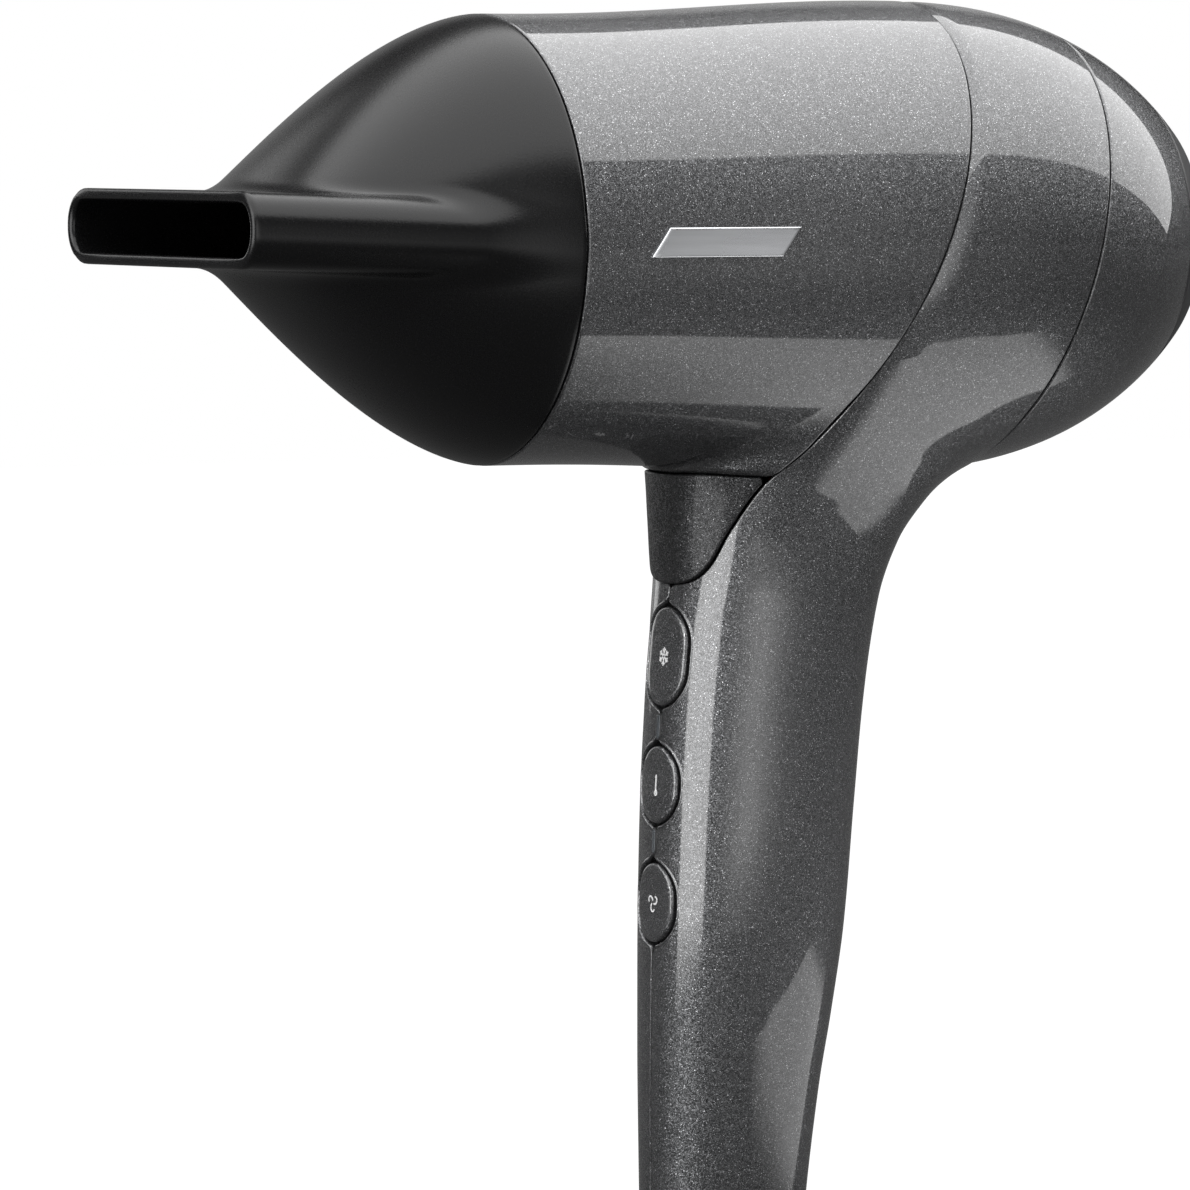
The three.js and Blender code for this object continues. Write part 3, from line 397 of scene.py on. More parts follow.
def shellPiece(field, keep, low, high, rollAt=evenRoll, wall=None, cell=None, rough=None,
               beadAt=nothing, turnAt=nothing):
    # A walled shell with rolled-in edges: points, faces and a normal for each point.
    # beadAt raises the roll, and turnAt rolls past the square so that the wall runs on straight.
    wall = wall or shell["wall"]
    cell = cell or shell["cell"]
    points, quads = skinOf(field, low, high, cell, rough or field)
    points, faces = trimmed(
        field, lambda p: keep(p) - rollAt(p) * (1 + np.sin(turnAt(p))), points, quads, cell)
    normals = unit(gradient(field, points))
    edges = openEdges(faces)
    rim = np.unique(edges)
    place = {int(v): i for i, v in enumerate(rim)}
    base, up = points[rim], normals[rim]
    roll = rollAt(base)[:, None]
    bead, turn = beadAt(base)[:, None], turnAt(base)[:, None]
    away = -gradient(keep, base, 0.2)
    away = unit(away - (away * up).sum(-1, keepdims=True) * up)
    count = len(points)
    allPoints, allNormals = [points, points - wall * normals], [normals, -normals]
    start = 2 * count
    rows = []
    for share in np.linspace(0, 1, 9)[1:]:
        angle = share * (math.pi / 2 + turn)
        double = np.minimum(2 * angle, math.pi)
        rise = bead * np.sin(double) - roll * (1 - np.cos(angle))
        rows.append(base + roll * np.sin(angle) * away + rise * up)
        slope = np.where(angle < math.pi / 2, 2 * bead * np.cos(double), 0) - roll * np.sin(angle)
        allNormals.append(unit(roll * np.cos(angle) * up - slope * away))
    inward = -np.sin(turn) * away - np.cos(turn) * up
    rows.append(rows[-1] + (wall - roll) * np.cos(turn) * inward)
    allNormals.append(allNormals[-1])
    allPoints += rows
    made = [faces.tolist(), (faces[:, ::-1] + count).tolist()]
    rolled = [start + i * len(rim) + np.arange(len(rim)) for i in range(len(rows))]
    chains = [rim] + rolled + [rim + count]
    a = np.array([place[int(v)] for v in edges[:, 0]])
    b = np.array([place[int(v)] for v in edges[:, 1]])
    for upper, lower in zip(chains, chains[1:]):
        made.append(np.stack([upper[b], upper[a], lower[a], lower[b]], -1).tolist())
    return np.concatenate(allPoints), sum(made, []), np.concatenate(allNormals)


def addPiece(name, points, faces, body, slotName, replaced=(), normals=None, sharp=None, finish=None):
    data = bpy.data.meshes.new(name)
    data.from_pydata((np.asarray(points) * mm).tolist(), [], [list(f) for f in faces])
    data.polygons.foreach_set("use_smooth", [True] * len(data.polygons))
    if sharp is not None:
        data.set_sharp_from_angle(angle=math.radians(sharp))
    if normals is not None:
        data.normals_split_custom_set_from_vertices(np.asarray(normals).tolist())
    piece = bpy.data.objects.new(name, data)
    bpy.context.scene.collection.objects.link(piece)
    data.materials.append(materials[finish or slotName])
    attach(piece, body)
    if replaced:
        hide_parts(*replaced)
    return piece


def gridFaces(rows, columns):
    # Faces between the rows of a ring-shaped grid
    return [
        (r * columns + c, r * columns + (c + 1) % columns,
         (r + 1) * columns + (c + 1) % columns, (r + 1) * columns + c)
        for r in range(rows - 1) for c in range(columns)
    ]


def loopFaces(rows, columns):
    # A ring-shaped grid whose last row also joins its first
    last = (rows - 1) * columns
    back = [(last + c, last + (c + 1) % columns, (c + 1) % columns, c) for c in range(columns)]
    return gridFaces(rows, columns) + back


def filleted(outline, radius, steps=5):
    # A closed outline with each corner rounded by an arc
    outline = [np.array(p, float) for p in outline]
    made = []
    for i, corner in enumerate(outline):
        toBack = outline[i - 1] - corner
        toNext = outline[(i + 1) % len(outline)] - corner
        lengthBack, lengthNext = np.linalg.norm(toBack), np.linalg.norm(toNext)
        toBack, toNext = toBack / lengthBack, toNext / lengthNext
        opening = math.acos(np.clip(toBack @ toNext, -1, 1))
        if opening > math.radians(172):
            made.append(corner)
            continue
        reach = min(radius / math.tan(opening / 2), 0.45 * lengthBack, 0.45 * lengthNext)
        r = reach * math.tan(opening / 2)
        centre = corner + (toBack + toNext) / np.linalg.norm(toBack + toNext) * r / math.sin(opening / 2)
        first, last = corner + toBack * reach - centre, corner + toNext * reach - centre
        sweep = math.pi - opening
        for k in range(steps + 1):
            t = k / steps
            arc = math.sin((1 - t) * sweep) * first + math.sin(t * sweep) * last
            made.append(centre + arc / math.sin(sweep))
    return np.array(made)


def turnedMesh(outline, segments=160, axis="x", centre=(0.0, axisZ)):
    # A closed outline of [along, radius] turned about X at the barrel's axis, or about Z
    outline = np.asarray(outline, float)
    following = np.roll(outline, -1, axis=0)
    area = np.sum(outline[:, 0] * following[:, 1] - following[:, 0] * outline[:, 1])
    if area < 0:
        outline = outline[::-1]
    angle = np.linspace(0, 2 * math.pi, segments, endpoint=False)
    along, r = outline[:, 0][:, None], outline[:, 1][:, None]
    first, second = r * np.cos(angle), r * np.sin(angle)
    if axis == "x":
        points = np.stack([along + 0 * first, centre[0] - second, centre[1] + first], -1)
    else:
        points = np.stack([centre[0] + first, centre[1] + second, along + 0 * first], -1)
    return points.reshape(-1, 3), [f[::-1] for f in loopFaces(len(outline), segments)]


def joinedMeshes(*parts):
    points, faces, start = [], [], 0
    for p, f in parts:
        points.append(np.asarray(p))
        faces += [tuple(v + start for v in face) for face in f]
        start += len(p)
    return np.concatenate(points), faces


def newMaterial(name, **values):
    material = bpy.data.materials.new(name)
    material.use_nodes = True
    nodes = material.node_tree.nodes
    nodes.clear()
    out = nodes.new("ShaderNodeOutputMaterial")
    shader = nodes.new("ShaderNodeBsdfPrincipled")
    for socket, value in values.items():
        shader.inputs[socket].default_value = value
    material.node_tree.links.new(shader.outputs["BSDF"], out.inputs["Surface"])
    return material, shader


def newGroup(name, inputs, outputs):
    group = bpy.data.node_groups.new(name, "ShaderNodeTree")
    for label, value in inputs.items():
        kind = "NodeSocketColor" if isinstance(value, tuple) else "NodeSocketFloat"
        group.interface.new_socket(label, in_out="INPUT", socket_type=kind).default_value = value
    for label, kind in outputs.items():
        group.interface.new_socket(label, in_out="OUTPUT", socket_type=kind)
    return group, group.nodes.new("NodeGroupInput"), group.nodes.new("NodeGroupOutput")


class Wiring:
    # Short calls for placing and joining shader nodes in one tree
    def __init__(self, tree):
        self.tree = tree

    def add(self, kind, **settings):
        node = self.tree.nodes.new(kind)
        for key, value in settings.items():
            setattr(node, key, value)
        return node

    def feed(self, target, source):
        if hasattr(source, "is_output"):
            self.tree.links.new(source, target)
        else:
            target.default_value = source

    def math(self, operation, a, b=0.0):
        node = self.add("ShaderNodeMath", operation=operation)
        self.feed(node.inputs[0], a)
        self.feed(node.inputs[1], b)
        return node.outputs[0]

    def vector(self, operation, a, b=(0, 0, 0)):
        node = self.add("ShaderNodeVectorMath", operation=operation)
        self.feed(node.inputs[0], a)
        second = node.inputs["Scale"] if operation == "SCALE" else node.inputs[1]
        self.feed(second, b)
        return node.outputs[0]

    def mix(self, amount, a, b):
        node = self.add("ShaderNodeMix", data_type="RGBA")
        self.feed(node.inputs["Factor"], amount)
        self.feed(node.inputs["A"], a)
        self.feed(node.inputs["B"], b)
        return node.outputs["Result"]

    def mixValue(self, amount, a, b):
        node = self.add("ShaderNodeMix", data_type="FLOAT")
        for i, value in enumerate((amount, None, a, b)):
            if value is not None:
                self.feed(node.inputs[i], value)
        return node.outputs[0]

    def remap(self, value, fromLow, fromHigh, toLow, toHigh, curve="LINEAR"):
        node = self.add("ShaderNodeMapRange", interpolation_type=curve)
        self.feed(node.inputs["Value"], value)
        limits = {"From Min": fromLow, "From Max": fromHigh, "To Min": toLow, "To Max": toHigh}
        for label, limit in limits.items():
            self.feed(node.inputs[label], limit)
        return node.outputs[0]

    def noise(self, place, scale, detail=3.0, roughness=0.55):
        node = self.add("ShaderNodeTexNoise")
        self.feed(node.inputs["Vector"], place)
        self.feed(node.inputs["Scale"], scale)
        node.inputs["Detail"].default_value = detail
        node.inputs["Roughness"].default_value = roughness
        return node.outputs["Fac"]


def flakeGroup():
    # Metal flakes in lacquer: each cell leans its own way and has its own brightness
    group, given, made = newGroup(
        "metalFlakes",
        {"Base": (0.06, 0.06, 0.065, 1), "Flake": (0.4, 0.41, 0.43, 1), "Density": 3300.0, "Lean": 0.3,
         "Bright Share": 0.1},
        {"Color": "NodeSocketColor", "Normal": "NodeSocketVector", "Mask": "NodeSocketFloat"},
    )
    w = Wiring(group)
    place = w.add("ShaderNodeTexCoord").outputs["Object"]
    surface = w.add("ShaderNodeNewGeometry").outputs["Normal"]
    cells = w.add("ShaderNodeTexVoronoi")
    w.feed(cells.inputs["Vector"], place)
    w.feed(cells.inputs["Scale"], given.outputs["Density"])
    lean = w.vector("SUBTRACT", cells.outputs["Color"], (0.5, 0.5, 0.5))
    lean = w.vector("SCALE", lean, given.outputs["Lean"])
    normal = w.vector("NORMALIZE", w.vector("ADD", surface, lean))
    fine = w.add("ShaderNodeTexVoronoi")
    w.feed(fine.inputs["Vector"], w.vector("ADD", place, (0.37, 0.11, 0.23)))
    w.feed(fine.inputs["Scale"], w.math("MULTIPLY", given.outputs["Density"], 1.35))
    pick = w.add("ShaderNodeSeparateColor")
    w.feed(pick.inputs[0], fine.outputs["Color"])
    limit = w.math("SUBTRACT", 1.0, given.outputs["Bright Share"])
    glint = w.remap(pick.outputs[0], limit, 1.0, 0.0, 1.0)
    tone = w.remap(pick.outputs[1], 0.0, 1.0, 0.0, 0.2)
    mask = w.math("MAXIMUM", glint, tone)
    w.feed(made.inputs["Color"], w.mix(mask, given.outputs["Base"], given.outputs["Flake"]))
    w.feed(made.inputs["Normal"], normal)
    w.feed(made.inputs["Mask"], mask)
    return group


def grainGroup():
    # Moulded grain: fine pits over a slow unevenness, as a height and a gloss change
    group, given, made = newGroup(
        "mouldedGrain",
        {"Tone": (0.02, 0.02, 0.02, 1), "Density": 2600.0, "Roughness": 0.4, "Unevenness": 0.06},
        {"Color": "NodeSocketColor", "Roughness": "NodeSocketFloat", "Height": "NodeSocketFloat"},
    )
    w = Wiring(group)
    place = w.add("ShaderNodeTexCoord").outputs["Object"]
    pits = w.noise(place, given.outputs["Density"], 2.0, 0.6)
    slow = w.noise(place, 45.0, 3.0, 0.5)
    shift = w.math("MULTIPLY", w.math("SUBTRACT", slow, 0.5), given.outputs["Unevenness"])
    speck = w.math("MULTIPLY", w.math("SUBTRACT", pits, 0.5), 0.12)
    change = w.math("ADD", shift, speck)
    w.feed(made.inputs["Roughness"], w.math("ADD", given.outputs["Roughness"], change))
    bright = w.vector("SCALE", given.outputs["Tone"], 1.8)
    w.feed(made.inputs["Color"], w.mix(w.remap(pits, 0.5, 0.8, 0.0, 0.5), given.outputs["Tone"], bright))
    w.feed(made.inputs["Height"], pits)
    return group


def brushedGroup():
    # Fine drawn lines on metal, with a slow change of gloss
    group, given, made = newGroup(
        "drawnMetal",
        {"Tone": (0.6, 0.6, 0.6, 1), "Density": 900.0, "Roughness": 0.3},
        {"Color": "NodeSocketColor", "Roughness": "NodeSocketFloat", "Height": "NodeSocketFloat"},
    )
    w = Wiring(group)
    place = w.add("ShaderNodeTexCoord").outputs["Object"]
    drawn = w.vector("MULTIPLY", place, (0.05, 1.0, 1.0))
    lines = w.noise(drawn, given.outputs["Density"], 3.0, 0.6)
    slow = w.noise(place, 60.0)
    dark = w.vector("SCALE", given.outputs["Tone"], 0.75)
    w.feed(made.inputs["Color"], w.mix(lines, dark, given.outputs["Tone"]))
    shift = w.math("MULTIPLY", w.math("SUBTRACT", slow, 0.5), 0.15)
    w.feed(made.inputs["Roughness"], w.math("ADD", given.outputs["Roughness"], shift))
    w.feed(made.inputs["Height"], lines)
    return group


groups = {"flakes": flakeGroup(), "grain": grainGroup(), "drawn": brushedGroup()}


def placeGroup(material, group, values):
    node = material.node_tree.nodes.new("ShaderNodeGroup")
    node.node_tree = group
    for label, value in values.items():
        node.inputs[label].default_value = value
    return node


paintLook = {
    "base": (0.012, 0.0122, 0.0132), "flake": (0.62, 0.625, 0.64), "density": 6500.0,
    "lean": 0.5, "share": 0.045,  # share of cells that glint
}
bumpReach = 0.0002


def paintMaterial(name, coat, strength):
    look = paintLook
    base, flake = (tuple(strength * c for c in look[part]) + (1,) for part in ("base", "flake"))
    material, shader = newMaterial(
        name, **{"Metallic": 0.85, "Coat Weight": coat, "Coat Roughness": 0.02, "Coat IOR": 1.5})
    w = Wiring(material.node_tree)
    flakes = placeGroup(material, groups["flakes"], {
        "Base": base, "Flake": flake, "Density": look["density"],
        "Lean": look["lean"], "Bright Share": look["share"]})
    w.feed(shader.inputs["Base Color"], flakes.outputs["Color"])
    w.feed(shader.inputs["Normal"], flakes.outputs["Normal"])
    w.feed(shader.inputs["Roughness"], w.remap(flakes.outputs["Mask"], 0.0, 1.0, 0.42, 0.3))
    return material


def dressed(material, shader, given, bump):
    # Joins a group's colour, roughness and height to a material
    w = Wiring(material.node_tree)
    bumps = w.add("ShaderNodeBump")
    bumps.inputs["Strength"].default_value = bump
    bumps.inputs["Distance"].default_value = bumpReach
    w.feed(bumps.inputs["Height"], given.outputs["Height"])
    w.feed(shader.inputs["Base Color"], given.outputs["Color"])
    w.feed(shader.inputs["Roughness"], given.outputs["Roughness"])
    w.feed(shader.inputs["Normal"], bumps.outputs["Normal"])
    return material


def plasticMaterial(name, tone, roughness, density=2600.0, bump=0.05, unevenness=0.06, coat=0.0, gloss=0.5):
    material, shader = newMaterial(
        name, **{"Coat Weight": coat, "Coat Roughness": 0.1, "Specular IOR Level": gloss})
    grain = placeGroup(material, groups["grain"], {
        "Tone": tone, "Density": density, "Roughness": roughness, "Unevenness": unevenness})
    return dressed(material, shader, grain, bump)


def metalMaterial(name, tone, roughness, density=900.0):
    material, shader = newMaterial(name, **{"Metallic": 1.0})
    drawn = placeGroup(material, groups["drawn"], {
        "Tone": tone, "Density": density, "Roughness": roughness})
    return dressed(material, shader, drawn, 0.08)


materials = {
    "paint": paintMaterial("graphitePaint", 1.0, 1.0),
    # The satin copy has a thin coat, and its base and flake colours are scaled to 0.45 as painted shade for
    # the pocket under the barrel
    "satin_paint": paintMaterial("satinGraphitePaintShadeDarkened", 0.1, 0.45),
    "nozzle_plastic": plasticMaterial(
        "satinNozzle", (0.003, 0.003, 0.0032, 1), 0.26, 2400.0, 0.08, 0.05, 0.0, 0.26),
    "black_plastic": plasticMaterial("satinBlack", (0.014, 0.014, 0.015, 1), 0.42),
    "inner_plastic": plasticMaterial("heatProofPlastic", (0.022, 0.022, 0.024, 1), 0.55, 1800.0, 0.12),
    "rubber": plasticMaterial("cordRubber", (0.016, 0.016, 0.016, 1), 0.75, 1500.0, 0.2),
    "mica": plasticMaterial("micaSheet", (0.42, 0.34, 0.22, 1), 0.5, 500.0, 0.2, 0.2),
    "foam": plasticMaterial("sealFoam", (0.03, 0.03, 0.032, 1), 0.95, 1200.0, 0.6),
    "circuit_board": plasticMaterial("solderMask", (0.01, 0.09, 0.04, 1), 0.35, 700.0, 0.06, 0.1, 0.4),
    "lens": plasticMaterial("smokedLens", (0.05, 0.055, 0.06, 1), 0.12, 900.0, 0.01, 0.02, 0.5),
    "lead_red": plasticMaterial("redInsulation", (0.3, 0.02, 0.015, 1), 0.4),
    "lead_blue": plasticMaterial("blueInsulation", (0.02, 0.05, 0.25, 1), 0.4),
    "symbol": plasticMaterial("symbolInk", (0.5, 0.5, 0.5, 1), 0.5, 3000.0, 0.02),
    "satin_metal": metalMaterial("satinPlate", (0.72, 0.73, 0.75, 1), 0.26),
    "plated_steel": metalMaterial("platedSteel", (0.6, 0.6, 0.62, 1), 0.28),
    "heating_wire": metalMaterial("heatingWire", (0.36, 0.31, 0.27, 1), 0.42),
    "brass": metalMaterial("sinteredBrass", (0.62, 0.42, 0.18, 1), 0.4, 1600.0),
    "rotor_steel": metalMaterial("rotorSteel", (0.42, 0.3, 0.22, 1), 0.38, 1400.0),
    "filter_wire": metalMaterial("filterWire", (0.25, 0.25, 0.26, 1), 0.35),
}
print("materials made")


def barrelPiece():
    def keep(p):
        behindFront = p[..., 0] - frontX
        return np.minimum(behindFront, -frontSeamDistance(p) - shell["seamGap"] / 2)

    r = shell["wideRadius"] + 4
    low = [frontX - 3, -r, axisZ - r - 1]
    high = [barrelHigh[0] + 4, r, axisZ + r]
    points, faces, normals = shellPiece(barrelSwellField, keep, low, high)
    addPiece("barrel", points, faces, "housing", "paint", ["barrel_shell"], normals)


def stadiumDistance(y, z, height, width):
    # Distance outside an upright stadium centred on 0
    rise = (height - width) / 2
    return np.hypot(y, z - np.clip(z, -rise, rise)) - width / 2


def holeDistance(p):
    # Distance outside the nearest button, at the handle's front
    z = p[..., 2] - axisZ
    holes = [stadiumDistance(p[..., 1], z + form["depth"], form["height"], form["width"])
             for form in buttons.values()]
    return np.where(p[..., 0] < handleX, np.minimum.reduce(holes), farAway)


def nearHole(p):
    # 1 along a button's hole, 0 away from it and along the parting line
    hole = holeDistance(p)
    fromParting = np.abs(p[..., 1]) - hole + buttonForm["gap"]
    return smoothStep(3.8, 2.5, hole) * smoothStep(-0.4, 0.4, fromParting)


def housingRoll(p):
    # Wider rolls round the buttons, a slight one along the parting line
    atHole = nearHole(p)
    parting = smoothStep(1.6, 0.6, np.abs(p[..., 1]))
    plain = shell["edgeRoll"] - 0.2 * parting
    return plain + (buttonForm["holeRoll"] - plain) * atHole


def housingBead(p):
    # A slight raised ring round each button
    return buttonForm["bead"] * nearHole(p)


def housingTurn(p):
    # How far the surface leans from the buttons' travel, so that their holes run straight in
    y, z = np.abs(p[..., 1]), p[..., 2]
    middle, depth, half = handleSection(z)
    n = handle["squareness"] - 1
    alongX = (np.abs(p[..., 0] - middle) / depth) ** n / depth
    alongY = (y / half) ** n / half
    across = np.zeros_like(y)
    nearest = np.full_like(y, farAway)
    for form in buttons.values():
        away = stadiumDistance(y, z - axisZ + form["depth"], form["height"], form["width"])
        across = np.where(away < nearest, y / np.maximum(away + form["width"] / 2, y + 1e-6), across)
        nearest = np.minimum(away, nearest)
    lean = across * alongY / np.hypot(alongX, alongY)
    return np.arcsin(np.clip(lean, 0, 0.9)) * nearHole(p)


def housingPiece(side):
    def keep(p):
        x, y, z = p[..., 0], p[..., 1] * side, p[..., 2]
        half = shell["seamGap"] / 2
        s = np.minimum(frontSeamDistance(p) - half, rearSeamDistance(p) - half)
        s = np.minimum(s, y - 0.12)
        s = np.minimum(s, z - handleEnd["plate"] - 0.3)
        s = np.minimum(s, holeDistance(p) - buttonForm["gap"])
        if side > 0:
            for low, high in screws:
                middle = (low + high) / 2
                hole = np.hypot(x - middle[0], z - middle[2]) - shell["screwHole"]
                s = np.minimum(s, np.where(y > 4, hole, farAway))
        return s

    r = shell["wideRadius"] + 3
    yRange = (-2.6, r) if side > 0 else (-r, 2.6)
    low = [handleX - 18, yRange[0], -3]
    high = [capLow[0] + 26, yRange[1], axisZ + r]
    points, faces, normals = shellPiece(
        housingField, keep, low, high, housingRoll, rough=housingForm, beadAt=housingBead,
        turnAt=housingTurn)
    name = "housing_right" if side > 0 else "housing_left"
    addPiece(name + "_shell", points, faces, "housing", "paint", [name], normals)


def neckPiece():
    def keep(p):
        ahead = -frontSeamDistance(p) - shell["seamGap"] / 2
        underBarrel = barrelSwellField(p) - 0.25
        return np.minimum(ahead, underBarrel)

    low = [handleX - 17, -30, axisZ - 70]
    high = [handleX + 14, 30, axisZ - 34]
    points, faces, normals = shellPiece(neckField, keep, low, high, cell=1.1)
    # The neck pocket takes the satin copy of the paint, whose darker colours are painted shade
    addPiece("neck_front", points, faces, "housing", "paint", ["neck_insert"], normals,
             finish="satin_paint")


def rearCapPiece():
    def keep(p):
        x = rearSeam["x"] + rearSeam["slope"] * (p[..., 2] - axisZ)
        behind = (p[..., 0] - x) / math.hypot(1, rearSeam["slope"]) - shell["seamGap"] / 2
        return np.minimum(behind, (capHigh[0] - p[..., 0]) * 1.2)

    r = shell["wideRadius"] + 3
    low = [capLow[0] - 4, -r, axisZ - r]
    high = [capHigh[0] + 4, r, axisZ + r]
    points, faces, normals = shellPiece(barrelField, keep, low, high)
    addPiece("tail_cap", points, faces, "housing", "paint", ["rear_cap"], normals)


barrelPiece()
print("barrel made")
for side in (-1, 1):
    housingPiece(side)
print("housing halves made")
neckPiece()
rearCapPiece()
print("neck and rear cap made")


nozzle = {
    "shoulderLength": 55.0,
    "narrowing": 20.3,
    "rootHalfWidth": 41.0,
    "mouthHalfWidth": 38.5,
    "halfHeight": 7.0,
    "corner": 6.7,
    "rise": 2.7,
    "blend": 2.6,
    "wall": 2.1,
    "stations": 110,
    "around": 288,
    "seam": 0.3,  # gap between the nozzle and the barrel
    "roll": 0.5,
    "rim": 1.0,
    "lipDrop": 2.0,
}
nozzleLength = frontX - nozzleLow[0]


def nozzleField(u, y, z):
    # u runs from the barrel's edge to the mouth, z from the nozzle's own middle
    t = np.clip(u / nozzle["shoulderLength"], 0, 0.995)
    high = shell["frontRadius"] * (1 - t**1.55)
    half = shell["frontRadius"] - nozzle["narrowing"] * t**1.58
    py, pz = y / half, z / high
    rho = np.hypot(py, pz) + 1e-9
    shoulder = (rho - 1) * rho / (np.hypot(py / half, pz / high) + 1e-9)
    shoulder = np.maximum(shoulder, np.maximum(np.abs(y) - half, np.abs(z) - high))
    share = u / nozzleLength
    w = nozzle["rootHalfWidth"] + (nozzle["mouthHalfWidth"] - nozzle["rootHalfWidth"]) * share
    r = nozzle["corner"]
    qy, qz = np.abs(y) - (w - r), np.abs(z) - (nozzle["halfHeight"] - r)
    blade = np.hypot(np.maximum(qy, 0), np.maximum(qz, 0)) + np.minimum(np.maximum(qy, qz), 0) - r
    return softJoin(shoulder, blade, nozzle["blend"])


def nozzleRing(u, angle, inset):
    # Radius at each angle by halving the interval
    low, high = np.zeros_like(angle), np.full_like(angle, 60.0)
    for _ in range(34):
        middle = (low + high) / 2
        out = nozzleField(u, middle * np.sin(angle), middle * np.cos(angle)) + inset > 0
        low, high = np.where(out, low, middle), np.where(out, middle, high)
    lift = nozzle["rise"] * max(0.0, u) / nozzleLength
    return np.stack([
        np.full_like(angle, frontX - u), -high * np.sin(angle), axisZ + lift + high * np.cos(angle)], -1)


def nozzlePiece():
    turn = np.linspace(0, 2 * math.pi, nozzle["around"], endpoint=False)
    angle = turn + 0.28 * np.sin(2 * turn)  # closer together where the blade's corners are
    seam, roll, rim, wall = (nozzle[part] for part in ("seam", "roll", "rim", "wall"))
    first = nozzleRing(seam + roll, angle, 0)
    middle = np.array([0, 0, axisZ])
    away = unit((first - middle) * [0, 1, 1])
    lip = middle + away * ((collarHigh[2] - collarLow[2]) / 2 - nozzle["lipDrop"])
    rows = [lip + [frontX - seam - 1.9, 0, 0], lip + [frontX - seam, 0, 0]]
    for a in np.radians([90, 60, 30]):
        rows.append(first + [roll * math.sin(a), 0, 0] - away * roll * (1 - math.cos(a)))
    stops = seam + roll + (nozzleLength - rim - seam - roll) * np.linspace(0, 1, nozzle["stations"])
    rows += [nozzleRing(u, angle, 0) for u in stops]
    outer, inner = rows[-1], nozzleRing(stops[-1], angle, wall)
    centre, reach = (outer + inner) / 2, (outer - inner) / 2
    for a in np.radians([22.5, 45, 67.5, 90, 112.5, 135, 157.5]):
        rows.append(centre + reach * math.cos(a) - [rim * math.sin(a), 0, 0])
    rows += [nozzleRing(u, angle, wall) for u in stops[::-2]]
    rows.append(nozzleRing(seam + 2.0, angle, wall))
    addPiece(
        "nozzle_shell", np.concatenate(rows), loopFaces(len(rows), len(angle)), "nozzle",
        "nozzle_plastic", ["concentrator_nozzle"], sharp=40)


nozzlePiece()
print("nozzle made")


def stadiumRing(inset, height, width, count=48):
    # Points round an upright stadium; point i faces point -i across its long axis
    r = width / 2 - inset
    rise = (height - width) / 2
    angle = np.linspace(0, 2 * math.pi, 2 * count, endpoint=False) + math.pi / (2 * count)
    return np.stack([r * np.sin(angle), r * np.cos(angle) + rise * np.sign(np.cos(angle))], -1)


def closedTop(start, count):
    # Faces that close a ring whose points mirror each other across the long axis
    half = count // 2
    return [
        (start + i, start + i + 1, start + count - 2 - i, start + count - 1 - i) for i in range(half - 1)
    ]


def frontOfHandle(y, z):
    # The handle's front surface and its normal at (y, z)
    middle, depth, half = handleSection(z)
    n = handle["squareness"]
    x = middle - depth * (1 - np.minimum(np.abs(y) / half, 0.99) ** n) ** (1 / n)
    p = np.stack([x, y, z], -1)
    return p, unit(gradient(handleField, p))


def sideOfBarrel(x, z):
    # The barrel's near side and its normal at (x, z)
    r = shellRadius(x)
    p = np.stack([x, -np.sqrt(r**2 - (z - axisZ) ** 2), z], -1)
    return p, unit(gradient(barrelField, p))


def raisedMesh(ringAt, surfaceAt, centre, proud, edge, depth, dish=0.0, insets=6, reach=1.0):
    # A cap on a surface: straight wall, rounded edge and a top that may be dished
    rows = [(0.0, -depth), (0.0, proud - edge)]
    for a in np.radians([22.5, 45, 67.5, 90]):
        rows.append((edge * (1 - math.cos(a)), proud - edge * (1 - math.sin(a))))
    for t in np.linspace(0, 1, insets + 1)[1:]:
        rows.append((edge + (reach - edge) * t, proud - dish * (1 - (1 - t) ** 2)))
    points = []
    for inset, height in rows:
        flat = ringAt(inset)
        base, normal = surfaceAt(flat[:, 0] + centre[0], flat[:, 1] + centre[1])
        points.append(base + normal * height)
    count = len(points[0])
    faces = gridFaces(len(rows), count) + closedTop((len(rows) - 1) * count, count)
    return np.concatenate(points), faces


def strokeMesh(path, width, surfaceAt, centre, height):
    # A thin raised line along a path of [across, up] points on a surface
    path = np.asarray(path, float)
    along = np.gradient(path, axis=0)
    across = np.stack([-along[:, 1], along[:, 0]], -1)
    across /= np.linalg.norm(across, axis=1, keepdims=True)
    rows = []
    for side, lift in ((1, -0.1), (1, height), (-1, height), (-1, -0.1)):
        flat = path + across * (width / 2) * side
        base, normal = surfaceAt(flat[:, 0] + centre[0], flat[:, 1] + centre[1])
        rows.append(base + normal * lift)
    points = np.stack(rows, 1).reshape(-1, 3)
    n = len(path)
    faces = gridFaces(n, 4) + [(3, 2, 1, 0), tuple(4 * (n - 1) + k for k in range(4))]
    return points, faces


def outward(mesh):
    # Turns every face round if the closed mesh is inside out
    points, faces = mesh
    volume = 0.0
    for face in faces:
        a = points[face[0]]
        for b, c in zip(face[1:], face[2:]):
            volume += np.dot(a, np.cross(points[b], points[c]))
    return mesh if volume > 0 else (points, [tuple(face[::-1]) for face in faces])


symbols = {"line": 0.34, "height": 0.06, "size": 1.75}


def line(a, b, steps=5):
    return [np.array(a) + (np.array(b) - np.array(a)) * t for t in np.linspace(0, 1, steps)]


def snowflake():
    strokes = []
    for arm in range(6):
        turn = arm * math.pi / 3
        along = np.array([math.sin(turn), math.cos(turn)])
        side = np.array([math.cos(turn), -math.sin(turn)])
        strokes.append(line(along * 0.25, along * symbols["size"]))
        for way in (-1, 1):
            strokes.append(line(along * 0.95, along * 1.4 + side * way * 0.5))
    return strokes


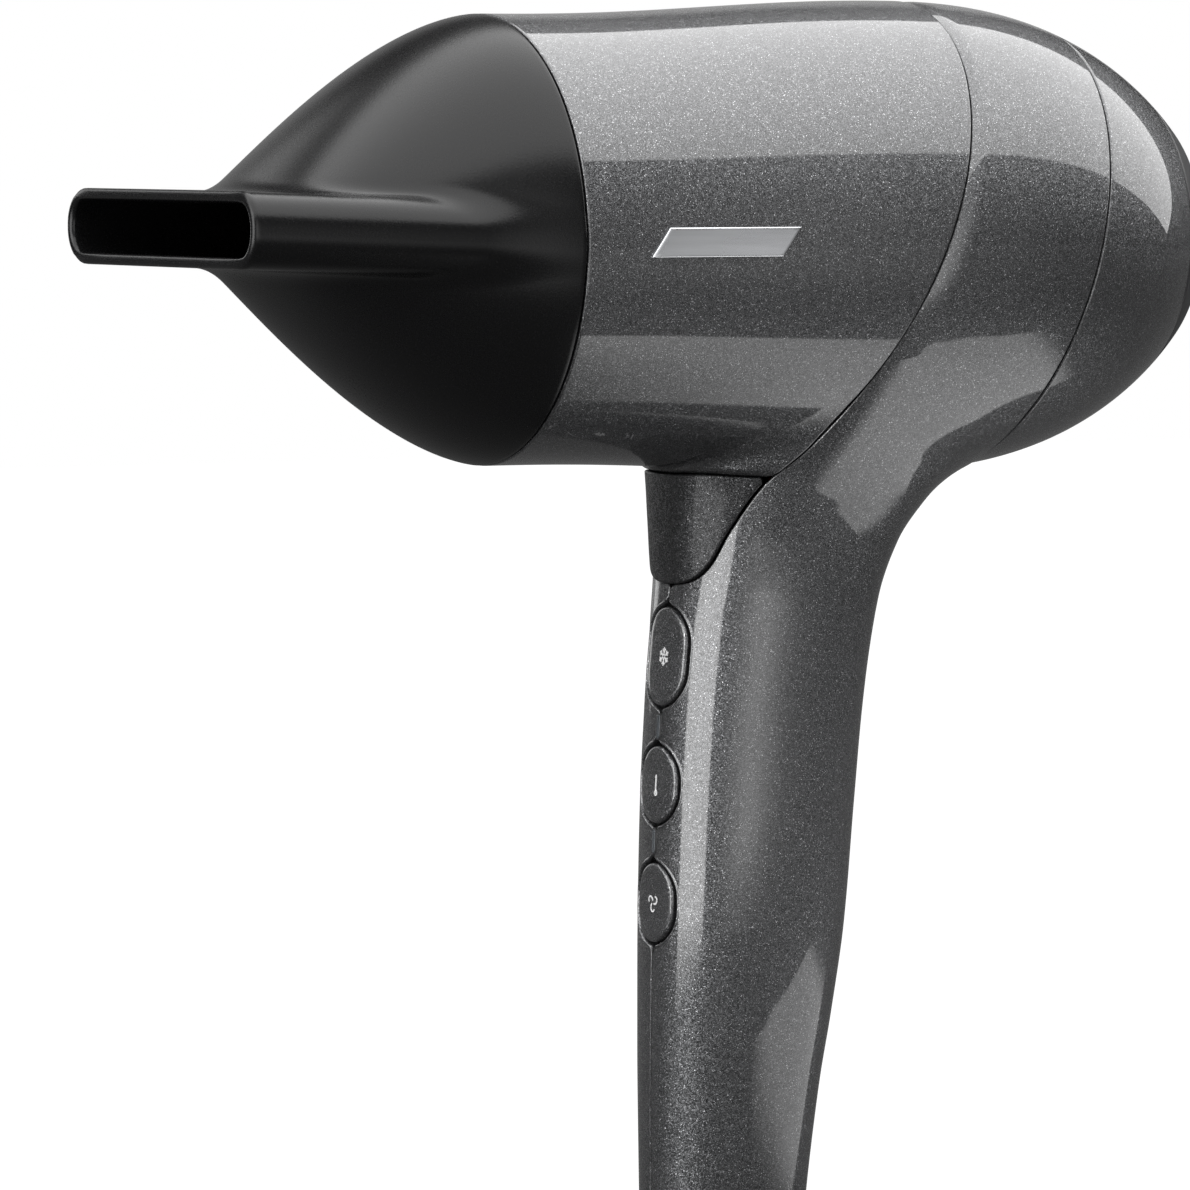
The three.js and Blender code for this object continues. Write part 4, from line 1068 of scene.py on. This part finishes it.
def thermometer():
    bulb = [np.array([0.42 * math.sin(a), -1.5 + 0.42 * math.cos(a)])
            for a in np.linspace(0, 2 * math.pi, 20)]
    return [line((0.0, -1.6), (0.0, 1.9)), line((0.12, -1.6), (0.12, 1.8)), bulb]


def fanSymbol():
    strokes = []
    for blade in range(3):
        turn = blade * 2 * math.pi / 3
        sweep = np.linspace(0, 1, 12)
        angle = turn + 1.5 * sweep
        r = 0.35 + 1.3 * np.sin(math.pi * sweep * 0.72)
        strokes.append(list(np.stack([r * np.sin(angle), r * np.cos(angle)], -1)))
    return strokes


def pushButton(name, strokes):
    form = {**buttonForm, **buttons[name]}
    centre = (0.0, axisZ - form["depth"])
    height, width = form["height"], form["width"]

    def ringAt(inset):
        return stadiumRing(inset, height, width)

    def flangeRing(inset):
        return stadiumRing(inset, height + 2 * form["flangeReach"], width + 2 * form["flangeReach"])

    cap = outward(raisedMesh(
        ringAt, frontOfHandle, centre, form["proud"], form["edge"], form["capDepth"], form["dish"], 7,
        width / 2 - 0.05))
    low, high = nodeBox(name + "_button")
    front, r = low[0] + form["stemFrom"], form["stemRadius"]
    stem = filleted([[front, 0.01], [front, r], [high[0], r], [high[0], 0.01]], 0.3)
    stem = outward(turnedMesh(stem, 32, "x", (0.0, centre[1])))
    flange = outward(raisedMesh(
        flangeRing, frontOfHandle, centre, -form["flangeDrop"], 0.2, form["flangeDepth"], 0.0, 4,
        width / 2))
    points, faces = joinedMeshes(cap, stem, flange)
    body = name + "_button"
    addPiece(name + "_cap", points, faces, body, "paint", [body], sharp=50)

    def capTop(y, z):
        base, normal = frontOfHandle(y, z)
        return base + normal * (form["proud"] - form["dish"]), normal

    marks = [strokeMesh(path, symbols["line"], capTop, centre, symbols["height"]) for path in strokes]
    points, faces = joinedMeshes(*[outward(mark) for mark in marks])
    addPiece(name + "_symbol", points, faces, body, "satin_metal", sharp=40, finish="symbol")


def tubeFaces(count, sides):
    # The faces of a tube, both ends closed
    last = (count - 1) * sides
    ends = [tuple(range(sides))[::-1], tuple(last + k for k in range(sides))]
    return gridFaces(count, sides) + ends


def coilMesh(start, end, radius, wire, turns, centreZ, sides=10, perTurn=40):
    # A round wire wound about an axis along X, its ends closed
    steps = int(turns * perTurn) + 1
    angle = np.linspace(0, 2 * math.pi * turns, steps)
    x = np.linspace(start, end, steps)
    out = np.stack([0 * angle, np.sin(angle), np.cos(angle)], -1)
    middle = np.stack([x, 0 * x, 0 * x + centreZ], -1) + radius * out
    along = unit(np.gradient(middle, axis=0))
    side = unit(np.cross(along, out))
    ringAngle = np.linspace(0, 2 * math.pi, sides, endpoint=False)
    cosine, sine = np.cos(ringAngle)[:, None], np.sin(ringAngle)[:, None]
    rings = middle[:, None] + wire * (cosine * out[:, None] + sine * side[:, None])
    return outward((rings.reshape(-1, 3), tubeFaces(steps, sides)))


springForm = {"wire": 0.25, "turns": 4}


def springPiece(name):
    # A return spring, fixed at its inner end
    low, high = nodeBox(name + "_spring")
    wire = springForm["wire"]
    z = axisZ - buttons[name]["depth"]
    radius = (high[1] - low[1]) / 2 - wire
    points, faces = coilMesh(low[0] + wire, high[0] - wire, radius, wire, springForm["turns"], z)
    spring = addPiece(
        name + "_return_spring", points, faces, "housing", "plated_steel", [name + "_spring"])
    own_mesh(spring)


indicators = {
    "depths": [91.6, 113.1], "height": 4.4, "width": 1.1, "proud": 0.18,
    "frame": 0.35, "frameProud": 0.08, "edge": 0.06, "sunk": 1.5,
}


def indicatorPieces():
    # A lens in a thin dark frame
    parts = [
        ("frame", indicators["frame"], indicators["frameProud"], "black_plastic"),
        ("window", 0.0, indicators["proud"], "lens"),
    ]
    for i, depth in enumerate(indicators["depths"]):
        for part, grow, proud, slotName in parts:
            height, width = indicators["height"] + 2 * grow, indicators["width"] + 2 * grow
            points, faces = outward(raisedMesh(
                lambda inset: stadiumRing(inset, height, width, 16), frontOfHandle, (0.0, axisZ - depth),
                proud, indicators["edge"], indicators["sunk"], 0.0, 2, width / 2 - 0.02))
            replaced = [f"indicator_lens_{i + 1}"] if part == "window" else []
            addPiece(f"indicator_{part}_{i + 1}", points, faces, "housing", slotName, replaced, sharp=50)


plate = {
    "x": -11.8, "length": 27.0, "height": 5.4, "lean": 1.9, "proud": 0.5, "edge": 0.3, "sunk": 1.0,
}


def platePiece():
    def ringAt(inset):
        length, height = plate["length"] / 2 - inset, plate["height"] / 2 - inset
        corners = [(length, height), (length, -height), (-length, -height), (-length, height)]
        leaning = [(a + plate["lean"] * b / (plate["height"] / 2), b) for a, b in corners]
        ring = []
        for a, b in zip(leaning, leaning[1:] + leaning[:1]):
            ring += line(a, b, 25)[:-1]
        return np.roll(np.array(ring), -12, axis=0)

    points, faces = outward(raisedMesh(
        ringAt, sideOfBarrel, (plate["x"], axisZ), plate["proud"], plate["edge"], plate["sunk"], 0.0, 5,
        plate["height"] / 2 - 0.3))
    addPiece("blank_plate", points, faces, "housing", "satin_metal", ["badge_plate"], sharp=35)


pushButton("cool_shot", snowflake())
pushButton("temperature", thermometer())
pushButton("speed", fanSymbol())
for name in buttons:
    springPiece(name)
indicatorPieces()
platePiece()
print("buttons, windows and plate made")


def addTurned(name, outline, fillet, body, slotName, replaced=(), segments=160, **place):
    points, faces = outward(turnedMesh(filleted(outline, fillet), segments, **place))
    return addPiece(name, points, faces, body, slotName, replaced, sharp=40)


collarForm = {"neck": 2.3, "inner": 3.6, "bead": 1.3, "step": 0.6}


def collarPiece():
    low, high = collarLow, collarHigh
    outer = (high[2] - low[2]) / 2
    neck, inner, bead = outer - collarForm["neck"], outer - collarForm["inner"], outer - collarForm["bead"]
    nose, step = low[0], frontX + collarForm["step"]
    addTurned("snap_collar", [
        [high[0], inner], [high[0], outer], [step, outer], [step, neck], [nose + 2.6, neck],
        [nose + 1.8, bead], [nose + 1, bead], [nose, neck - 0.3], [nose, inner],
    ], 0.35, "nozzle_collar", "nozzle_plastic", ["nozzle_collar"])


spigot = {"sleeveDrop": 3.9, "flange": 3.0, "guardGap": 0.3}
guard = {"hoops": [1.0, 0.6], "hoopWidth": 1.6, "spokeWidth": 1.6, "spokeFrom": 0.4, "spokeShort": 1.2}


def spigotPieces():
    low, high = nodeBox("outlet_spigot")
    outer = (high[2] - low[2]) / 2
    guardLow, guardHigh = nodeBox("outlet_grille")
    inner = (guardHigh[2] - guardLow[2]) / 2 + spigot["guardGap"]
    sleeve = (collarHigh[2] - collarLow[2]) / 2 - spigot["sleeveDrop"]
    flange = high[0] - spigot["flange"]
    addTurned("air_spigot", [
        [low[0], sleeve], [flange, sleeve], [flange, outer], [high[0], outer], [high[0], inner],
        [low[0], inner],
    ], 0.5, "housing", "inner_plastic", ["outlet_spigot"])
    parts = []
    front, back = guardLow[0], guardHigh[0]
    for share in guard["hoops"]:
        r = (inner - spigot["guardGap"]) * share
        within = r - guard["hoopWidth"]
        hoop = filleted([[front, within], [front, r], [back, r], [back, within]], 0.7, 6)
        parts.append(outward(turnedMesh(hoop, 128)))
    reach = inner - guard["spokeShort"]
    for k in range(6):
        turn = k * math.pi / 3
        parts.append(outward(ribMesh(
            turn, guard["spokeFrom"], reach, front + 0.2, back - 0.2, guard["spokeWidth"])))
    points, faces = joinedMeshes(*parts)
    addPiece("finger_guard", points, faces, "housing", "inner_plastic", ["outlet_grille"], sharp=50)


def ribMesh(turn, fromR, toR, front, back, width, sides=20, count=8):
    # A spoke with an oval section
    out = np.array([0, math.sin(turn), math.cos(turn)])
    side = np.array([0, math.cos(turn), -math.sin(turn)])

    def ovalled(v):
        return math.copysign(abs(v) ** 0.6, v)

    angle = np.linspace(0, 2 * math.pi, sides, endpoint=False)
    section = [(front + back) / 2 + (back - front) / 2 * ovalled(math.cos(a)) for a in angle]
    across = [width / 2 * ovalled(math.sin(a)) for a in angle]
    rows = []
    for r in np.linspace(fromR, toR, count):
        rows.append(np.array([[x, 0, axisZ] + out * r + side * w for x, w in zip(section, across)]))
    return np.concatenate(rows), tubeFaces(count, sides)


intake = {
    "slotHalf": 1.3, "counts": [6, 10, 14], "first": 0.32, "step": 0.24, "edge": 1.2,
    "skirtDrop": 2.8, "skirtWall": 1.6, "skirtReach": 1.4,
}
grilleRadius = float(shellRadius(coverHigh[0])) - intake["edge"]


def slotDistance(p):
    # Distance outside the nearest of the curved slots
    y, z = p[..., 1], p[..., 2] - axisZ
    r, angle = np.hypot(y, z), np.arctan2(z, y)
    nearest = np.full(r.shape, farAway)
    for row, count in enumerate(intake["counts"]):
        middle = grilleRadius * (intake["first"] + intake["step"] * row)
        pitch = 2 * math.pi / count
        turn = angle - pitch * 0.5 * (row % 2)
        turn = np.abs(turn - pitch * np.round(turn / pitch))
        reach = pitch / 2 - intake["slotHalf"] / middle - intake["slotHalf"] / middle
        beyond = np.maximum(turn - reach, 0) * middle
        nearest = np.minimum(nearest, np.hypot(beyond, r - middle) - intake["slotHalf"])
    return nearest


def coverField(p):
    r = np.hypot(p[..., 1], p[..., 2] - axisZ)
    return softCut(r - shellRadius(p[..., 0]), p[..., 0] - coverHigh[0], 2.4)


def coverKeep(p):
    return np.minimum(p[..., 0] - capHigh[0] - 0.3, slotDistance(p))


def filterPieces():
    reach = float(shellRadius(capHigh[0])) + 3
    low, high = [capHigh[0] - 3, -reach, axisZ - reach], [coverHigh[0] + 3, reach, axisZ + reach]
    points, faces, normals = shellPiece(
        coverField, coverKeep, low, high, lambda p: np.full(p.shape[:-1], 0.4), 1.7, 0.75)
    addPiece("intake_cover", points, faces, "filter", "black_plastic", ["filter_cover"], normals)
    skirt = float(shellRadius(capHigh[0])) - intake["skirtDrop"]
    within, end = skirt - intake["skirtWall"], capHigh[0] + intake["skirtReach"]
    addTurned("intake_skirt", [
        [coverLow[0], within], [coverLow[0], skirt], [end, skirt], [end, within],
    ], 0.5, "filter", "black_plastic")
    wovenMesh()


woven = {"pitch": 1.5, "wire": 0.17, "sides": 5, "wave": 0.13, "edge": 0.3}


def wovenMesh():
    # Two sets of wires that pass over and under each other
    low, high = nodeBox("filter_mesh")
    radius = (high[2] - low[2]) / 2 - woven["edge"]
    middle = (low[0] + high[0]) / 2
    pitch, wire, sides = woven["pitch"], woven["wire"], woven["sides"]
    angle = np.linspace(0, 2 * math.pi, sides, endpoint=False)
    count = int(radius / pitch)
    parts = []
    for way in (0, 1):
        for k in range(-count, count + 1):
            across = k * pitch
            half = math.sqrt(radius**2 - across**2)
            t = np.arange(-half, half, pitch / 2)
            wave = woven["wave"] * np.cos(math.pi * (t / pitch + k + way))
            y, z = (t, across + 0 * t) if way else (across + 0 * t, t)
            centre = np.stack([middle + wave, y, z + axisZ], -1)
            side = np.array([0, 0, 1.0]) if way else np.array([0, 1.0, 0])
            rings = centre[:, None] + wire * (
                np.cos(angle)[:, None] * np.array([1.0, 0, 0]) + np.sin(angle)[:, None] * side)
            parts.append(outward((rings.reshape(-1, 3), tubeFaces(len(t), sides))))
    rim = [[middle + a, radius + b] for a, b in ((-0.3, -0.3), (-0.3, 0.2), (0.3, 0.2), (0.3, -0.3))]
    parts.append(outward(turnedMesh(filleted(rim, 0.15), 96)))
    points, faces = joinedMeshes(*parts)
    addPiece("woven_filter", points, faces, "filter", "filter_wire", ["filter_mesh"])


def handleEndPieces():
    around = 160
    angle = np.linspace(0, 2 * math.pi, around, endpoint=False)
    n = handle["squareness"]

    def outline(z, inset):
        middle, depth, half = handleSection(z)
        c, s = np.cos(angle), np.sin(angle)
        x = (depth - inset) * np.sign(c) * np.abs(c) ** (2 / n)
        y = (half - inset) * np.sign(s) * np.abs(s) ** (2 / n)
        return np.stack([middle + x, y, 0 * x + z], -1)

    def hole(z, r):
        return np.stack([handleX + r * np.cos(angle), r * np.sin(angle), 0 * angle + z], -1)

    edge, plateTop = handleEnd["edge"], handleEnd["plate"]
    bushRadius = (bushHigh[0] - bushLow[0]) / 2 - 2
    rows = [hole(plateTop, bushRadius + 0.3), hole(0.5, bushRadius + 0.3), hole(0.0, bushRadius + 0.8)]
    rows += [outline(0.0, 4.0), outline(0.0, edge + 0.4)]
    for a in np.radians([0, 22.5, 45, 67.5, 90]):
        rows.append(outline(edge * (1 - math.cos(a)), edge * (1 - math.sin(a))))
    rows += [outline(plateTop - 0.3, 0.0), outline(plateTop, 0.3), outline(plateTop, 3.0)]
    rows += [outline(endCapHigh[2], 3.0), outline(endCapHigh[2], 4.2), outline(plateTop + 0.02, 4.2)]
    points = np.concatenate(rows)
    points, faces = outward((points, loopFaces(len(rows), around)))
    addPiece("handle_end", points, faces, "housing", "black_plastic", ["handle_end_cap"], sharp=45)
    r, bore = bushRadius, handleEnd["bore"]
    addTurned("inlet_bush", [
        [bushLow[2], bore], [bushLow[2], r], [2.9, r], [2.9, r + 2], [4.4, r + 2], [4.4, r],
        [bushHigh[2], r - 0.8], [bushHigh[2], bore],
    ], 0.4, "housing", "rubber", ["cord_bush"], 96, axis="z", centre=(handleX, 0.0))


shelf = {"gap": 0.3, "depth": 3, "thick": 2}


def capShelf():
    low, high = nodeBox("intake_guard")
    start = high[0] + shelf["gap"]
    end = start + shelf["thick"]
    inner = (high[2] - low[2]) / 2 - shelf["depth"]
    outer = float(shellRadius(end)) - shell["wall"] - 0.1
    addTurned("cap_shelf", [
        [start, inner], [start, outer], [end, outer], [end, inner]], 0.4, "housing", "paint")


def addUpright(name, outline, fillet, segments, middle, slotName, replaced=()):
    # Turned about a line along Y
    points, faces = turnedMesh(filleted(outline, fillet), segments, "z", (middle[0], -middle[2]))
    points = np.stack([points[:, 0], points[:, 2], -points[:, 1]], -1)
    addPiece(name, *outward((points, faces)), "housing", slotName, replaced, sharp=35)


screwForm = {"shank": 1.5, "head": 3.0, "headHigh": 1.9, "wellIn": 3.35, "wellOut": 4.4, "wellReach": 3.2}


def screwPieces():
    shank, head = screwForm["shank"], screwForm["head"]
    near, far = screwForm["wellIn"], screwForm["wellOut"]
    for i, (low, high) in enumerate(screws):
        middle = (low + high) / 2
        top, seat, rim = high[1], high[1] - screwForm["headHigh"], high[1] + screwForm["wellReach"]
        addUpright(f"shell_screw_{i + 1}", [
            [low[1], 0.01], [low[1] + 2, shank], [seat, shank], [seat, head], [top - 0.5, head - 0.1],
            [top, 1.9], [top, 1.0], [top - 0.9, 0.01],
        ], 0.3, 48, middle, "plated_steel", [f"housing_screw_{i + 1}"])
        addUpright(f"screw_well_{i + 1}", [
            [seat - 2, 1.7], [seat - 0.3, 1.7], [seat - 0.3, near], [rim, near], [rim, far],
            [seat - 2, far],
        ], 0.25, 64, middle, "paint")


heater = {"wire": 0.6, "turns": 6}


def heatingCoils():
    for end in ("front", "rear"):
        low, high = nodeBox("heater_coil_" + end)
        wire = heater["wire"]
        radius = (high[2] - low[2]) / 2 - wire
        points, faces = coilMesh(
            low[0] + wire, high[0] - wire, radius, wire, heater["turns"], axisZ, 10, 72)
        addPiece(
            "heating_coil_" + end, points, faces, "housing", "heating_wire", ["heater_coil_" + end])


collarPiece()
spigotPieces()
filterPieces()
handleEndPieces()
capShelf()
screwPieces()
heatingCoils()
print("round pieces made")


camera = {
    "azimuth": -29.3,
    "elevation": 3.6,
    "distance": 1400.0,
    "across": 219.6,  # width of the view at the barrel's front edge
    "right": -21.5,  # where that edge's middle lies from the view's middle
    "up": 65.5,
}


def placeCamera():
    a, e = math.radians(camera["azimuth"]), math.radians(camera["elevation"])
    back = np.array([math.sin(a) * math.cos(e), -math.cos(a) * math.cos(e), math.sin(e)])
    right = np.array([math.cos(a), math.sin(a), 0])
    up = np.cross(back, right)
    spot = np.array([frontX, 0, axisZ]) + back * camera["distance"]
    spot -= right * camera["right"] + up * camera["up"]
    data = bpy.data.cameras.new("camera")
    data.lens = data.sensor_width * camera["distance"] / camera["across"]
    data.clip_end = 100
    ob = bpy.data.objects.new("camera", data)
    ob.matrix_world = Matrix([
        [right[0], up[0], back[0], spot[0] * mm],
        [right[1], up[1], back[1], spot[1] * mm],
        [right[2], up[2], back[2], spot[2] * mm],
        [0, 0, 0, 1],
    ])
    bpy.context.scene.collection.objects.link(ob)
    bpy.context.scene.camera = ob


placeCamera()


def band(w, value, start, end, edge):
    # 1 between start and end with soft edges
    rise = w.remap(value, start - edge, start + edge, 0.0, 1.0, "SMOOTHSTEP")
    fall = w.remap(value, end - edge, end + edge, 1.0, 0.0, "SMOOTHSTEP")
    return w.math("MULTIPLY", rise, fall)


# Degrees about the barrel's axis for the overhead light, to the left of the camera for the others
light = {
    "overhead": 3.3, "overheadFrom": 41.0, "overheadTo": 131.0, "overheadSoft": 0.8,
    "card": 6.0, "cardFrom": 33.0, "cardTo": 76.0, "cardSoft": 1.5, "cardLow": -0.45, "cardHigh": 0.62,
    "front": 2.4, "frontReach": 25.0, "frontHeading": -20.0,  # a soft glow
    "rear": 0.4, "rearFrom": 168.0, "rearFull": 174.0,
    "rim": 1.6, "rimFrom": 138.0, "rimTo": 160.0, "rimSoft": 3.0,
    "dark": 0.03,
}
# The floor's lit patch in metres, and where it starts to carry the card and the front glow
floorLook = {
    "glow": 2.0, "dark": 0.05, "alongX": (0.07, 0.24, 0.03), "alongY": (-0.19, -0.03, 0.004),
    "clear": 0.4, "carries": 0.8,
}


def headingFromCamera(w, x, y):
    # Degrees to the left of the camera, as seen from the dryer
    heading = w.math("ARCTAN2", w.math("MULTIPLY", x, -1.0), w.math("MULTIPLY", y, -1.0))
    return w.math("ADD", w.math("DEGREES", heading), camera["azimuth"])


def frontGlow(w, left, height):
    aside = w.math("SUBTRACT", left, light["frontHeading"])
    off = w.math("ADD", w.math("POWER", aside, 2.0), w.math("POWER", height, 2.0))
    return w.math("EXPONENT", w.math("DIVIDE", w.math("MULTIPLY", off, -1.0), light["frontReach"] ** 2))


def cardAcross(w, left):
    return band(w, left, light["cardFrom"], light["cardTo"], light["cardSoft"])


def buildWorld():
    world = bpy.data.worlds.new("studio")
    bpy.context.scene.world = world
    world.use_nodes = True
    w = Wiring(world.node_tree)
    axes = w.add("ShaderNodeSeparateXYZ")
    w.feed(axes.inputs[0], w.add("ShaderNodeTexCoord").outputs["Generated"])
    x, y, z = axes.outputs
    roundBarrel = w.math("DEGREES", w.math("ARCTAN2", z, w.math("MULTIPLY", y, -1.0)))
    overhead = band(
        w, roundBarrel, light["overheadFrom"], light["overheadTo"], light["overheadSoft"])
    left = headingFromCamera(w, x, y)
    card = w.math("MULTIPLY", cardAcross(w, left), band(w, z, light["cardLow"], light["cardHigh"], 0.03))
    aside = w.math("ABSOLUTE", left)
    behind = w.math(
        "MULTIPLY", w.remap(aside, light["rearFrom"], light["rearFull"], 0.0, 1.0, "SMOOTHSTEP"),
        w.remap(z, 0.5, 0.3, 0.0, 1.0, "SMOOTHSTEP"))
    rim = w.math(
        "MULTIPLY", band(w, left, light["rimFrom"], light["rimTo"], light["rimSoft"]),
        band(w, z, -0.5, 0.6, 0.1))
    front = frontGlow(w, left, w.math("DEGREES", w.math("ARCSINE", z)))
    level = w.math("MULTIPLY", overhead, light["overhead"])
    level = w.math("MAXIMUM", level, w.math("MULTIPLY", card, light["card"]))
    level = w.math("MAXIMUM", level, w.math("MULTIPLY", behind, light["rear"]))
    level = w.math("MAXIMUM", level, w.math("MULTIPLY", rim, light["rim"]))
    level = w.math("ADD", level, w.math("MULTIPLY", front, light["front"]))
    level = w.math("MAXIMUM", level, light["dark"])
    seen = w.add("ShaderNodeLightPath").outputs["Is Camera Ray"]
    background = world.node_tree.nodes["Background"]
    w.feed(background.inputs["Strength"], w.mixValue(seen, level, 1.0))
    background.inputs["Color"].default_value = (1, 1, 1, 1)


def buildFloor():
    data = bpy.data.meshes.new("floor")
    data.from_pydata([(-3, -3, 0), (3, -3, 0), (3, 3, 0), (-3, 3, 0)], [], [(0, 1, 2, 3)])
    floor = bpy.data.objects.new("floor", data)
    floor.location.z = -0.0005
    bpy.context.scene.collection.objects.link(floor)
    material, shader = newMaterial(
        "paleFloor", **{"Roughness": 0.9, "Base Color": (0.03, 0.03, 0.03, 1), "Specular IOR Level": 0.0})
    w = Wiring(material.node_tree)
    axes = w.add("ShaderNodeSeparateXYZ")
    w.feed(axes.inputs[0], w.add("ShaderNodeTexCoord").outputs["Object"])
    x, y = axes.outputs[0], axes.outputs[1]
    glow = w.math("MULTIPLY", band(w, x, *floorLook["alongX"]), band(w, y, *floorLook["alongY"]))
    left = headingFromCamera(w, x, y)
    away = w.math("SQRT", w.math("ADD", w.math("POWER", x, 2.0), w.math("POWER", y, 2.0)))
    outside = w.remap(away, floorLook["clear"], floorLook["carries"], 0.0, 1.0)
    card = w.math("MULTIPLY", cardAcross(w, left), outside)
    front = w.math("MULTIPLY", frontGlow(w, left, 0.0), outside)
    level = w.remap(glow, 0.0, 1.0, floorLook["dark"], floorLook["glow"])
    level = w.math("MAXIMUM", level, w.math("MULTIPLY", card, light["card"]))
    level = w.math("ADD", level, w.math("MULTIPLY", front, light["front"]))
    seen = w.add("ShaderNodeLightPath").outputs["Is Camera Ray"]
    shader.inputs["Emission Color"].default_value = (1, 1, 1, 1)
    w.feed(shader.inputs["Emission Strength"], w.mixValue(seen, level, 1.0))
    data.materials.append(material)


buildWorld()
buildFloor()
bpy.context.scene.view_settings.view_transform = "Standard"
print("camera and light set")

# CAD nodes that stay get their own finish
slots = {row["node"]: row["material_slot"] for row in frame["record"]["subparts"]}
for name, node in frame["nodes"].items():
    finish = materials.get(slots[name], materials["black_plastic"])
    node.data.materials.clear()
    node.data.materials.append(finish)
